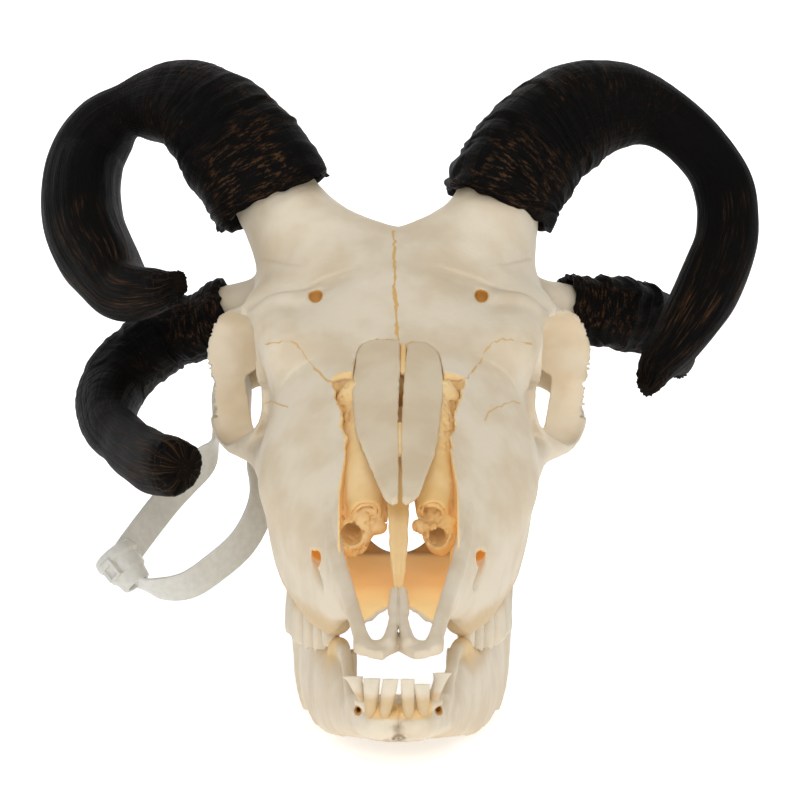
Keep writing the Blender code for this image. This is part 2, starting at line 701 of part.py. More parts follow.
def make_jaw_half(side, word, home, shop):
    """One half of the lower jaw with its teeth."""
    forms = mandible_forms()
    if side < 0:
        forms = [mirrored_alone(f) for f in forms]
    half = melt(joined("mandible_" + word, forms, home), BONE_VOXEL, 3)
    thin(half, JAW_HALF_FACES)
    cut(half, [rest_cutter()], shop)
    cut(half, [slab(side)], shop, "INTERSECT")
    teeth = []
    for name, x, y, width, length, high in LOWER_TEETH:
        teeth.append(tooth(x, y, width, length - GAP, high, high - LOWER_DROP))
    if side < 0:
        teeth = [mirrored_alone(t) for t in teeth]
    for values in FRONT_TEETH:
        teeth.append(front_tooth(*values, side))
    return fuse_teeth(half, teeth, shop)


def mirrored_alone(item):
    """The mirror image of an object, in place of it."""
    other = mirrored(item)
    mesh = item.data
    bpy.data.objects.remove(item)
    bpy.data.meshes.remove(mesh)
    return other


def slab(side):
    """The half space of one side, short of the middle by half a gap."""
    made = bmesh.new()
    bmesh.ops.create_cube(made, size=1.0)
    place = Matrix.Translation((side*(GAP/2 + 50), 100, 0)) @ Matrix.Diagonal((100, 400, 300, 1))
    bmesh.ops.transform(made, matrix=place, verts=made.verts)
    return from_bmesh("slab", made)


def rest_cutter():
    """A block under the jaw whose top is the floor, so that the jaw stands on small flats."""
    made = bmesh.new()
    bmesh.ops.create_cube(made, size=1.0)
    level = Matrix.Rotation(-REST_TILT, 4, "X")
    place = level @ Matrix.Translation((0, 100, FLOOR_Z - 20)) @ Matrix.Diagonal((200, 400, 40, 1))
    bmesh.ops.transform(made, matrix=place, verts=made.verts)
    return from_bmesh("floor", made)


def core_seat(core, side):
    """The core's keys on one side, carried a little past its tip for clearance."""
    keys = np.array(core, dtype=float)
    run = keys[-1, :3] - keys[-2, :3]
    keys[-1, :3] += run*(2*CORE_FIT/np.linalg.norm(run))
    return keys*np.array((side, 1, 1, 1))


def make_horns(home, shop):
    """Four horn sheaths, each hollowed to sit over its bone core."""
    rows = (("horn_upper_left", UPPER_HORN_LEFT, 1, UPPER_CORE_LEFT, 28),
            ("horn_upper_right", UPPER_HORN_RIGHT, -1, UPPER_CORE_RIGHT, 28),
            ("horn_lower_left", LOWER_HORN_LEFT, 1, LOWER_CORE, 16),
            ("horn_lower_right", LOWER_HORN_RIGHT, -1, LOWER_CORE, 22))
    made = []
    for name, keys, side, core, count in rows:
        horn = joined(name, [horn_skin(keys, side, HORN_SIDES, count)], home)
        inner = core_seat(core, side)
        cut(horn, [rod(inner, CORE_FIT, sides=16, count=9)], shop)
        made.append(horn)
    return made


def make_tag(home, shop):
    """The strap, trimmed where it enters its lock, and the lock."""
    strap = joined("tag_strap", [strap_skin()], home)
    cut(strap, [drum(LOCK_CENTRE, LOCK_AXIS, LOCK_RADIUS + GAP, LOCK_LENGTH + 2*GAP)], shop)
    lock = joined("tag_lock", [drum(LOCK_CENTRE, LOCK_AXIS, LOCK_RADIUS, LOCK_LENGTH)], home)
    return [strap, lock]


def place_on_floor(parts):
    """Tilt every part, centre the whole over the origin and stand it on z = 0, in metres."""
    tilt = Matrix.Rotation(REST_TILT, 4, "X")
    for part in parts:
        part.data.transform(tilt)
    points = np.array([v.co[:] for part in parts for v in part.data.vertices])
    low, high = points.min(axis=0), points.max(axis=0)
    shift = Matrix.Translation((-(low[0] + high[0])/2, -(low[1] + high[1])/2, -low[2]))
    for part in parts:
        part.data.transform(Matrix.Scale(MM, 4) @ shift)
        part.data.update()
    print("shift in the tilted frame, mm:", [round(v, 3) for v in shift.translation])


def dress(parts):
    """Give each node its material."""
    looks = {
        "horn": material("horn", HORN_COLOUR, 0.55),
        "tag": material("tag_plastic", TAG_COLOUR, 0.35),
        "nasal": material("nasal_bone", NASAL_COLOUR, 0.5),
        "turbinate": material("turbinate_bone", CONCHA_COLOUR, 0.6),
        "": material("bone", BONE_COLOUR, 0.5),
    }
    for part in parts:
        key = next(k for k in looks if part.name.startswith(k))
        part.data.materials.clear()
        part.data.materials.append(looks[key])


def main():
    """Build every node."""
    clear_scene()
    home = collection("sheep_skull")
    shop = collection("cutters")
    parts = make_skull(home, shop)
    parts += make_small_bones(home, shop)
    for side, word in ((1, "left"), (-1, "right")):
        parts.append(make_jaw_half(side, word, home, shop))
    parts += make_horns(home, shop)
    parts += make_tag(home, shop)
    dress(parts)
    place_on_floor(parts)
    for part in parts:
        count = sum(len(p.vertices) - 2 for p in part.data.polygons)
        print(part.name, count, "triangles")


main()
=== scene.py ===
# %% [markdown]
# # A four-horned sheep skull
# The object is a cleaned skull of a horned sheep that stands on its own lower jaw. It has
# four dark horn sheaths on bone cores, and a plain plastic strap hangs round one cheek arch.
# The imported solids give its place, and its sizes follow theirs. This script dresses them: it
# grows the bone from smooth distance fields, sweeps the horns and the strap, and paints every
# surface with nodes.
# The forms are written in the skull's own frame, in millimetres: x to the animal's left, y
# backward from the front tip of the upper jaw, z up from the chewing level.

# %% Load the frame
import math

import json
import time

import bmesh
import bpy
import numpy as np
import openvdb
from mathutils import Matrix, Vector
from mathutils.bvhtree import BVHTree

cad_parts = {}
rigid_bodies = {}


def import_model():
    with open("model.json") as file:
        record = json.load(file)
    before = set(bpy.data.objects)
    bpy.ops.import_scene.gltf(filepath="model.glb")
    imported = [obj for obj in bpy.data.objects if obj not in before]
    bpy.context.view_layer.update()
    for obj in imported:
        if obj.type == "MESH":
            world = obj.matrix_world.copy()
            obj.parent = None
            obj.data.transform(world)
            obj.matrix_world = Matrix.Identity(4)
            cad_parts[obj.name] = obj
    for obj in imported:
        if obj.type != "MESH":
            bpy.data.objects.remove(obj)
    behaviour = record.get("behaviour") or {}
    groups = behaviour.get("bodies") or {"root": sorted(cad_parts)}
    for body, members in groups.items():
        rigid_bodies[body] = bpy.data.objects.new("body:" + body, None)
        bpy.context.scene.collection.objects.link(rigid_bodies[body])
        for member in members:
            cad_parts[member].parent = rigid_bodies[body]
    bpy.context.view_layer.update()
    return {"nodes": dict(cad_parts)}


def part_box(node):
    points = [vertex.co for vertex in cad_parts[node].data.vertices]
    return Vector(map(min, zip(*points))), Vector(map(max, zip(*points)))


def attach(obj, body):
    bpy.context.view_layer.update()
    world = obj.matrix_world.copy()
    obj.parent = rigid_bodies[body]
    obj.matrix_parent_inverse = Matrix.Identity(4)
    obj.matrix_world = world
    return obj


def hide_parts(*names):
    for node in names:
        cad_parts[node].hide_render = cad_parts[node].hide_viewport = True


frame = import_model()
START = time.time()
print("nodes:", len(frame["nodes"]))


# %% [markdown]
# The skull lies eight degrees nose-down at rest. Turning every form by hand would make the
# numbers hard to read, so they stay level and one matrix turns them. The strap's lock is a
# plain drum, so the middle of its box ties the skull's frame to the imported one.

# %% Skull frame to room
MM = 0.001
REST_TILT = math.radians(8.0)
TILT = np.array(Matrix.Rotation(REST_TILT, 3, "X"))
LOCK_CENTRE = np.array((-86.5, 149.5, -1.6))


def skull_shift():
    """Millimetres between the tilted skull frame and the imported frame."""
    low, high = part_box("tag_lock")
    middle = (np.array(low) + np.array(high))/2/MM
    return middle - TILT @ LOCK_CENTRE


SHIFT = skull_shift()
TO_ROOM = Matrix.Scale(MM, 4) @ Matrix.Translation(SHIFT) @ Matrix.Rotation(REST_TILT, 4, "X")
print("shift in millimetres:", SHIFT.round(3))


# %% [markdown]
# The camera stands straight in front of the skull and looks a little down on it. A wide lens
# close by would swell the jaw and shrink the horns, so a long lens stands 1.3 metres off.

# %% Camera
AIM = np.array((0.0, 85.0, 65.07))
LOOK_DOWN = math.radians(11.0)
DISTANCE = 1300.0
IMAGE = 800
SENSOR = 36.0
FOCAL_PIXELS = 4349.75
MIDDLE_COLUMN = 398.5
AHEAD = np.array((0.0, math.cos(LOOK_DOWN), -math.sin(LOOK_DOWN)))
UPWARD = np.array((0.0, math.sin(LOOK_DOWN), math.cos(LOOK_DOWN)))
EYE = AIM - AHEAD*DISTANCE


def make_camera():
    """A camera at the photograph's angle."""
    data = bpy.data.cameras.new("camera")
    data.sensor_width = SENSOR
    data.lens = SENSOR*FOCAL_PIXELS/IMAGE
    data.shift_x = (IMAGE/2 - MIDDLE_COLUMN)/IMAGE
    data.clip_end = 20.0
    item = bpy.data.objects.new("camera", data)
    item.location = TO_ROOM @ Vector(EYE)
    item.rotation_euler = (math.pi/2 - LOOK_DOWN + REST_TILT, 0, 0)
    bpy.context.scene.collection.objects.link(item)
    bpy.context.scene.camera = item
    return item


camera = make_camera()
print("lens:", round(camera.data.lens, 1), "mm")


# %% [markdown]
# Bone, horn, plastic and paper each need a material. Shaders could be wired node by node, but
# long chains are hard to follow, so here they are written as sums. Each Tone holds one socket
# of a material, and plus, minus and times add the Math or Vector Math node that does the work.

# %% Shader sums
class Tone:
    """One socket of a material, with arithmetic that makes nodes."""

    def __init__(self, tree, socket=None):
        self.tree = tree
        self.socket = socket

    def make(self, kind, settings=None, values=None, output=0):
        """Any node, from its type, its settings and the values or links of its sockets."""
        node = self.tree.nodes.new(kind)
        for name, value in (settings or {}).items():
            setattr(node, name, value)
        for name, value in (values or {}).items():
            if isinstance(value, Tone):
                self.tree.links.new(value.socket, node.inputs[name])
            else:
                node.inputs[name].default_value = value
        return Tone(self.tree, node.outputs[output])

    def spread(self):
        """True for a colour or a vector."""
        return self.socket.type != "VALUE"

    def sum(self, operation, other, swapped=False):
        """A Math node, or Vector Math where either side is a colour or vector."""
        wide = self.spread() or isinstance(other, tuple)
        wide = wide or (isinstance(other, Tone) and other.spread())
        if wide and isinstance(other, (int, float)):
            other = (other, other, other)
        pair = (other, self) if swapped else (self, other)
        kind = "ShaderNodeVectorMath" if wide else "ShaderNodeMath"
        return self.make(kind, {"operation": operation}, {0: pair[0], 1: pair[1]})

    def __add__(self, other):
        return self.sum("ADD", other)

    def __radd__(self, other):
        return self.sum("ADD", other, True)

    def __sub__(self, other):
        return self.sum("SUBTRACT", other)

    def __rsub__(self, other):
        return self.sum("SUBTRACT", other, True)

    def __mul__(self, other):
        return self.sum("MULTIPLY", other)

    def __rmul__(self, other):
        return self.sum("MULTIPLY", other, True)

    def bands(self, low, high, out_low=0.0, out_high=1.0):
        """A smooth step from one value to another."""
        values = {"Value": self, "From Min": low, "From Max": high,
                  "To Min": out_low, "To Max": out_high}
        return self.make("ShaderNodeMapRange", {"interpolation_type": "SMOOTHSTEP"}, values)

    def blend(self, low, high):
        """Two colours mixed by this value. A colour Mix node has them at sockets 6 and 7."""
        settings = {"data_type": "RGBA", "clamp_result": True}
        return self.make("ShaderNodeMix", settings, {0: self, 6: low, 7: high}, output=2)


def rgb(red, green, blue):
    """A linear colour as a socket wants it."""
    return (red, green, blue, 1.0)


class Finish:
    """A new material with the sockets that most finishes start from."""

    def __init__(self, name):
        self.material = bpy.data.materials.new(name)
        self.material.use_nodes = True
        tree = self.material.node_tree
        self.shader = tree.nodes["Principled BSDF"]
        self.start = Tone(tree)

    def mark(self, name):
        """A value stored on the points of a mesh."""
        return self.start.make("ShaderNodeAttribute", {"attribute_name": name}, output=2)

    def track(self, name):
        """A vector stored on the points of a mesh."""
        return self.start.make("ShaderNodeAttribute", {"attribute_name": name}, output=1)

    def noise(self, where, scale, detail=4.0, rough=0.55, twist=0.0):
        """A soft random value between 0 and 1."""
        values = {"Vector": where, "Scale": scale, "Detail": detail, "Roughness": rough,
                  "Distortion": twist}
        return self.start.make("ShaderNodeTexNoise", None, values)

    def pits(self, where, scale):
        """The distance to scattered points."""
        return self.start.make("ShaderNodeTexVoronoi", None, {"Vector": where, "Scale": scale})

    def set(self, **sockets):
        """Set or link the shader's sockets, with _ for a space in their names."""
        for name, value in sockets.items():
            target = self.shader.inputs[name.replace("_", " ")]
            if isinstance(value, Tone):
                self.material.node_tree.links.new(value.socket, target)
            else:
                target.default_value = value

    def relief(self, height, strength, distance):
        """A bump in metres from a height between 0 and 1."""
        values = {"Height": height, "Strength": strength, "Distance": distance}
        self.set(Normal=self.start.make("ShaderNodeBump", None, values))


print("shader tools ready")


# %% [markdown]
# The skull stands on a plain white sweep: a floor that curves up into a wall. White paint
# alone photographs grey, so the paper glows a little, and less so near the skull, where its
# light would burn out the lower bone. Large soft panels light the front, top and sides.

# %% Floor and lights
FLOOR_HALF = 3.0
SWEEP_START = 1.2
SWEEP_RADIUS = 1.0
PAPER = rgb(0.9, 0.9, 0.9)
PAPER_GLOW = 0.85
NEAR_GLOW = 0.52
NEAR_REACH = 0.3
FAR_REACH = 1.0
SWEEP_STEPS = 16
WALL_TOP = 3.5
SKY_LIGHT = 0.2
LIGHT_TARGET = Vector((0, 0, 0.11))
# Name, place, size and power of each light panel, in metres and watts
PANELS = (("top_panel", (0.0, -0.3, 1.3), (1.2, 0.8), 4.2),
          ("front_panel", (0.0, -1.7, 0.75), (0.9, 0.7), 9.0),
          ("left_panel", (-1.3, -0.9, 0.6), (0.8, 1.2), 2.6),
          ("right_panel", (1.3, -0.9, 0.6), (0.8, 1.2), 2.2))


def make_white():
    """Bright matt paper that glows a little, so that it photographs as plain white."""
    look = Finish("white_paper")
    place = look.start.make("ShaderNodeTexCoord", output="Object")
    reach = place.make("ShaderNodeVectorMath", {"operation": "LENGTH"}, {0: place}, "Value")
    limits = {"From Min": NEAR_REACH, "From Max": FAR_REACH, "To Min": NEAR_GLOW/PAPER_GLOW}
    glow = look.start.make("ShaderNodeMapRange", None, {"Value": reach, **limits})
    look.set(Base_Color=PAPER, Roughness=1.0, Specular_IOR_Level=0.0)
    look.set(Emission_Color=glow, Emission_Strength=PAPER_GLOW)
    return look.material


def make_sweep():
    """A floor that bends up into a back wall."""
    profile = [(-FLOOR_HALF, 0.0), (SWEEP_START, 0.0)]
    for step in range(1, SWEEP_STEPS + 1):
        turn = math.radians(90*step/SWEEP_STEPS)
        profile.append((SWEEP_START + SWEEP_RADIUS*math.sin(turn),
                        SWEEP_RADIUS*(1 - math.cos(turn))))
    profile.append((SWEEP_START + SWEEP_RADIUS, WALL_TOP))
    mesh = bpy.data.meshes.new("sweep")
    points = [(x, y, z) for y, z in profile for x in (-FLOOR_HALF, FLOOR_HALF)]
    faces = [(2*i, 2*i + 1, 2*i + 3, 2*i + 2) for i in range(len(profile) - 1)]
    mesh.from_pydata(points, [], faces)
    mesh.polygons.foreach_set("use_smooth", [True]*len(faces))
    mesh.materials.append(make_white())
    item = bpy.data.objects.new("sweep", mesh)
    bpy.context.scene.collection.objects.link(item)
    return item


def make_panel(name, place, size, power):
    """A soft square light that faces the skull."""
    data = bpy.data.lights.new(name, "AREA")
    data.shape = "RECTANGLE"
    data.size, data.size_y = size
    data.energy = power
    item = bpy.data.objects.new(name, data)
    item.location = place
    item.rotation_euler = (LIGHT_TARGET - Vector(place)).to_track_quat("-Z", "Y").to_euler()
    bpy.context.scene.collection.objects.link(item)
    return item


def make_sky(strength):
    """Even white light from all round."""
    world = bpy.data.worlds.new("sky")
    world.use_nodes = True
    back = world.node_tree.nodes["Background"]
    back.inputs["Color"].default_value = (1.0, 1.0, 1.0, 1.0)
    back.inputs["Strength"].default_value = strength
    bpy.context.scene.world = world


sweep = make_sweep()
make_sky(SKY_LIGHT)
for panel in PANELS:
    make_panel(*panel)
bpy.context.scene.view_settings.view_transform = "Standard"
print("lights:", len(bpy.data.lights))


# %% [markdown]
# Bone has no straight edges. It could be sculpted by hand or joined from primitives, but a
# distance field gives rounded joins everywhere and stays a list of real sizes. A field says
# how far any point is from the surface, below zero inside, and these helpers join two fields
# softly and run a smooth curve through a few points.

# %% Soft joins and smooth paths
FAR = 60.0
MARGIN = 7.0


def soft_min(a, b, soft):
    """The lower of two fields, with a rounded join."""
    mix = np.clip(0.5 + 0.5*(b - a)/soft, 0.0, 1.0)
    return b + (a - b)*mix - soft*mix*(1.0 - mix)


def soft_max(a, b, soft):
    """The higher of two fields, with a rounded join."""
    return -soft_min(-a, -b, soft)


def smooth_path(points, count):
    """Catmull-Rom points through a list, evenly spread by index."""
    keys = np.array(points, dtype=float)
    padded = np.vstack([2*keys[0] - keys[1], keys, 2*keys[-1] - keys[-2]])
    place = np.linspace(0, len(keys) - 1 - 1e-9, count)
    first = place.astype(int)
    t = (place - first)[:, None]
    a, b, c, d = (padded[first + k] for k in range(4))
    return 0.5*(2*b + (c - a)*t + (2*a - 5*b + 4*c - d)*t**2 + (3*b - a - 3*c + d)*t**3)


def step_between(low, high, value):
    """A smooth step from 0 to 1."""
    t = np.clip((value - low)/(high - low), 0.0, 1.0)
    return t*t*(3.0 - 2.0*t)


print("half way up a smooth step:", step_between(0, 1, 0.5))


# %% [markdown]
# Knobs, bars and thin sheets of bone are the forms that come back all over a skull. Blender's
# own primitives have hard corners and a fixed number of faces. The forms below have neither:
# each gives its field and the box that holds it. There is a stretched ball for knobs, a rod of
# changing thickness for bars and spurs, and two plates for thin sheets.

# %% Forms
def spin(turn):
    """A rotation matrix from degrees about x, y and z."""
    x, y, z = (np.array(Matrix.Rotation(math.radians(a), 3, n)) for a, n in zip(turn, "XYZ"))
    return z @ y @ x


def pebble(centre, radii, turn=(0, 0, 0)):
    """A stretched ball."""
    middle = np.array(centre, dtype=float)
    size = np.array(radii, dtype=float)
    axes = spin(turn)

    def distance(p):
        local = (p - middle) @ axes
        outer = np.linalg.norm(local/size, axis=1)
        inner = np.linalg.norm(local/size**2, axis=1)
        return outer*(outer - 1.0)/np.maximum(inner, 1e-6)

    return distance, middle - size.max(), middle + size.max()


def limb(keys, steps=3):
    """A smooth rod through points (x, y, z, radius)."""
    line = smooth_path(keys, steps*(len(keys) - 1) + 1)
    reach = line[:, 3].max()

    def distance(p):
        best = np.full(len(p), FAR)
        for a, b in zip(line, line[1:]):
            run = b[:3] - a[:3]
            t = np.clip(((p - a[:3]) @ run)/(run @ run), 0.0, 1.0)
            gap = np.linalg.norm(p - a[:3] - t[:, None]*run, axis=1)
            best = np.minimum(best, gap - a[3] - t*(b[3] - a[3]))
        return best

    return distance, line[:, :3].min(axis=0) - reach, line[:, :3].max(axis=0) + reach


def outline_distance(u, v, outline):
    """Signed distance in a plane to a closed outline."""
    corners = np.array(outline, dtype=float)
    best = np.full(len(u), 1e9)
    inside = np.zeros(len(u), dtype=bool)
    for (ax, ay), (bx, by) in zip(corners, np.roll(corners, -1, axis=0)):
        ex, ey = bx - ax, by - ay
        t = np.clip(((u - ax)*ex + (v - ay)*ey)/(ex*ex + ey*ey), 0.0, 1.0)
        best = np.minimum(best, (u - ax - t*ex)**2 + (v - ay - t*ey)**2)
        if ay != by:
            crossing = (v >= min(ay, by)) & (v < max(ay, by))
            inside ^= crossing & (u < ax + (v - ay)*ex/ey)
    return np.where(inside, -1.0, 1.0)*np.sqrt(best)


def plate(outline, half, middle=lambda y, z: 0.0, round_edge=1.0):
    """An upright plate seen from the side: an outline in (y, z) and a half thickness."""
    corners = np.array(outline, dtype=float)

    def distance(p):
        flat = outline_distance(p[:, 1], p[:, 2], corners)
        side = np.abs(p[:, 0] - middle(p[:, 1], p[:, 2])) - half
        return soft_max(flat, side, round_edge)

    low = np.array((-70.0, *corners.min(axis=0)))
    high = np.array((70.0, *corners.max(axis=0)))
    return distance, low, high


def shelf(outline, half, middle, round_edge=1.0):
    """A level plate seen from above: an outline in (x, y), half its thickness, its height."""
    corners = np.array(outline, dtype=float)

    def distance(p):
        flat = outline_distance(p[:, 0], p[:, 1], corners)
        return soft_max(flat, np.abs(p[:, 2] - middle(p)) - half, round_edge)

    low = np.array((*corners.min(axis=0), -20.0))
    high = np.array((*corners.max(axis=0), 30.0))
    return distance, low, high


print("a ball of 2 mm, 3 mm from its middle:", pebble((0, 0, 0), (2, 2, 2))[0](np.array([[3.0, 0, 0]])))


# %% [markdown]
# Real bone and horn are never even. Noise could come from Blender's own textures, but the
# shapes need it outside a material, so a small hash gives a repeatable number to each cell
# of a grid, and points between them are blended.

# %% Lumps
def lattice(cells, seed):
    """A repeatable number from -1 to 1 for every whole-number cell."""
    key = cells[..., 0]*73856093 ^ cells[..., 1]*19349663 ^ cells[..., 2]*83492791
    key = (key ^ seed*40503) & 0xffffffff
    key = ((key ^ (key >> 13))*1274126177) & 0xffffffff
    key = ((key ^ (key >> 16))*668265263) & 0xffffffff
    return ((key >> 8) & 0xffff)/32767.5 - 1.0


def lumps(p, size, seed=1):
    """A smooth random field from -1 to 1, with lumps of one size."""
    place = p/size
    cell = np.floor(place).astype(np.int64)
    t = place - cell
    t = t*t*(3.0 - 2.0*t)
    total = np.zeros(len(p))
    for corner in np.ndindex(2, 2, 2):
        weight = np.prod(np.where(corner, t, 1.0 - t), axis=1)
        total += weight*lattice(cell + np.array(corner), seed)
    return total


print("lumps at one point:", lumps(np.array([[1.2, 3.4, 5.6]]), 2.0).round(3))


# %% [markdown]
# A maker would add lumps of clay and carve hollows into them, and a Clay works the same way: it
# is a list of forms added and cut in order. Most bones come in mirrored pairs, so a twin form is
# measured from the folded side and is written once. Points far from a form skip it, which keeps
# a long list quick.

# %% Clay
class Clay:
    """Forms added to and cut from each other in order. Calling it gives the distance."""

    def __init__(self):
        self.steps = []

    def add(self, form, soft=3.0, twin=True):
        """Add a form with a soft join, on both sides if it is a twin."""
        self.steps.append((False, form, soft, twin))

    def cut(self, form, soft=1.0, twin=True):
        """Cut a form away with a soft edge."""
        self.steps.append((True, form, soft, twin))

    def __call__(self, p):
        field = np.full(len(p), FAR)
        folded = p*1.0
        folded[:, 0] = np.abs(folded[:, 0])
        for cutting, (distance, low, high), soft, twin in self.steps:
            use = folded if twin else p
            near = np.all((use > low - MARGIN) & (use < high + MARGIN), axis=1)
            if near.any():
                value = distance(use[near])
                now = field[near]
                field[near] = soft_max(now, -value, soft) if cutting else soft_min(now, value, soft)
        return field


print("forms in new clay:", len(Clay().steps))


# %% [markdown]
# The surface comes off a grid as four-sided faces. A fine grid all through would be slow, so
# only the blocks near the surface are worked out finely. Each point is then slid along the
# field's slope onto the true surface, and the flat stretches are thinned.

# %% Reading a surface off a field
LOCK_ROOM = 12
# For each grown part: the corners of its box, its grid cell, its most triangles
GROWTH = {
    "skull": ((-72, 6, -14), (72, 236, 130), 0.7, 290000),
    "nasal": ((0.2, 36, 38), (16, 119, 84), 0.42, 24000),
    "front": ((-26, -4, 2), (26, 70, 44), 0.45, 40000),
    "roll": ((2, 52, 16), (20, 110, 66), 0.45, 40000),
    "ridges": ((-1.5, 58, 50), (3.5, 116, 79), 0.3, 6000),
    "middle": ((-5, 28, 6), (5, 124, 64), 0.5, 14000),
    "jaw": ((-1, -2, -52), (50, 196, 60), 0.6, 90000),
    "lock": (LOCK_CENTRE - LOCK_ROOM, LOCK_CENTRE + LOCK_ROOM, 0.3, 16000)}


def grid_points(low, size, shape):
    """Every point of a block of a grid."""
    axes = [low[k] + size*np.arange(shape[k]) for k in range(3)]
    return np.stack(np.meshgrid(*axes, indexing="ij"), axis=-1).reshape(-1, 3)


def surface(field, low, high, voxel, block=4):
    """Points and faces where a field is zero."""
    coarse = voxel*block
    counts = np.ceil((high - low)/coarse).astype(int) + 1
    centres = grid_points(low + (block - 1)*voxel/2, coarse, counts)
    rough = field(centres)
    dense = np.repeat(np.repeat(np.repeat(rough.reshape(counts), block, 0), block, 1), block, 2)
    dense = dense.astype(np.float32)
    near = np.flatnonzero(np.abs(rough) < 1.7*coarse)
    cells = np.stack(np.unravel_index(near, counts), axis=-1)
    offsets = np.stack(np.unravel_index(np.arange(block**3), (block,)*3), axis=-1)
    index = (cells[:, None, :]*block + offsets[None]).reshape(-1, 3)
    values = np.concatenate([field(low + part*voxel) for part in np.array_split(index, 8)])
    dense[index[:, 0], index[:, 1], index[:, 2]] = values
    grid = openvdb.FloatGrid(3.0)
    grid.copyFromArray(np.clip(dense/voxel, -3.0, 3.0).astype(np.float32))
    points, faces = grid.convertToQuads(0.0)
    return low + points.astype(float)*voxel, faces


def slope(field, p, step=0.15):
    """The direction in which a field grows."""
    parts = []
    for k in range(3):
        shift = np.zeros(3)
        shift[k] = step
        parts.append(field(p + shift) - field(p - shift))
    return np.stack(parts, axis=-1)/(2*step)


def settle_on(field, p, most):
    """Slide points onto the surface of a field."""
    grow = slope(field, p)
    size = np.maximum((grow**2).sum(axis=1), 0.05)
    move = (field(p)/size)[:, None]*grow
    length = np.linalg.norm(move, axis=1)[:, None]
    return p - move*np.minimum(1.0, most/np.maximum(length, 1e-9))


def mesh_from(name, points, faces):
    """A smooth-shaded mesh from arrays of points and of faces with equal corners."""
    mesh = bpy.data.meshes.new(name)
    faces = np.asarray(faces)
    corners = faces.shape[1]
    mesh.vertices.add(len(points))
    mesh.vertices.foreach_set("co", np.asarray(points, dtype=np.float32).ravel())
    mesh.loops.add(faces.size)
    mesh.loops.foreach_set("vertex_index", faces.astype(np.int32).ravel())
    mesh.polygons.add(len(faces))
    mesh.polygons.foreach_set("loop_start", np.arange(0, faces.size, corners, dtype=np.int32))
    mesh.polygons.foreach_set("use_smooth", np.ones(len(faces), dtype=bool))
    mesh.update(calc_edges=True)
    return mesh


def mesh_points(mesh):
    """The points of a mesh as an array."""
    flat = np.empty(3*len(mesh.vertices), dtype=np.float32)
    mesh.vertices.foreach_get("co", flat)
    return flat.reshape(-1, 3).astype(float)


def thinned(mesh, triangles):
    """The mesh with its flat stretches simplified to so many triangles."""
    now = sum(len(p.vertices) - 2 for p in mesh.polygons)
    if now <= triangles:
        return mesh
    item = bpy.data.objects.new("thin", mesh)
    bpy.context.scene.collection.objects.link(item)
    step = item.modifiers.new("thin", "DECIMATE")
    step.ratio = triangles/now
    graph = bpy.context.evaluated_depsgraph_get()
    made = bpy.data.meshes.new_from_object(item.evaluated_get(graph))
    bpy.data.objects.remove(item)
    bpy.data.meshes.remove(mesh)
    return made


def grown(field, part, side=1):
    """A mesh grown from a field in its part's box, mirrored for the right side."""
    near, far, cell, triangles = GROWTH[part]
    low, high = np.array(near, dtype=float), np.array(far, dtype=float)
    if side < 0:
        low[0], high[0] = -high[0], -low[0]
    size = cell
    points, faces = surface(field, low, high, size)
    points = settle_on(field, points, size*0.5)
    return thinned(mesh_from("grown", points, faces[:, ::-1]), triangles)


def mark_points(mesh, name, values):
    """Store one number on each point of a mesh."""
    mark = mesh.attributes.new(name, "FLOAT", "POINT")
    mark.data.foreach_set("value", np.asarray(values, dtype=np.float32))


def track_points(mesh, name, vectors):
    """Store one vector on each point of a mesh."""
    mark = mesh.attributes.new(name, "FLOAT_VECTOR", "POINT")
    mark.data.foreach_set("vector", np.asarray(vectors, dtype=np.float32).ravel())


def place_piece(name, mesh, finish, nodes):
    """Put a finished mesh in the room as a piece of the skull."""
    mesh.name = name
    track_points(mesh, "skull", mesh_points(mesh))
    mesh.transform(TO_ROOM)
    mesh.update()
    mesh.materials.clear()
    mesh.materials.append(finish.material)
    item = bpy.data.objects.new(name, mesh)
    bpy.context.scene.collection.objects.link(item)
    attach(item, "root")
    if nodes:
        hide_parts(*nodes)
    count = sum(len(p.vertices) - 2 for p in mesh.polygons)
    print(name, count, "triangles at", round(time.time() - START, 1), "s")
    return item


print("parts to grow:", len(GROWTH))


# %% [markdown]
# The head's main mass is the box of bone from the snout to the back of the skull. Joined balls
# would need dozens of forms to follow it, so it is a run of cross-sections instead, like the
# frames of a boat. Each is kept as a reach for every angle round its middle, so the field
# between two sections is a plain look-up. Both halves match, so one half is written down.

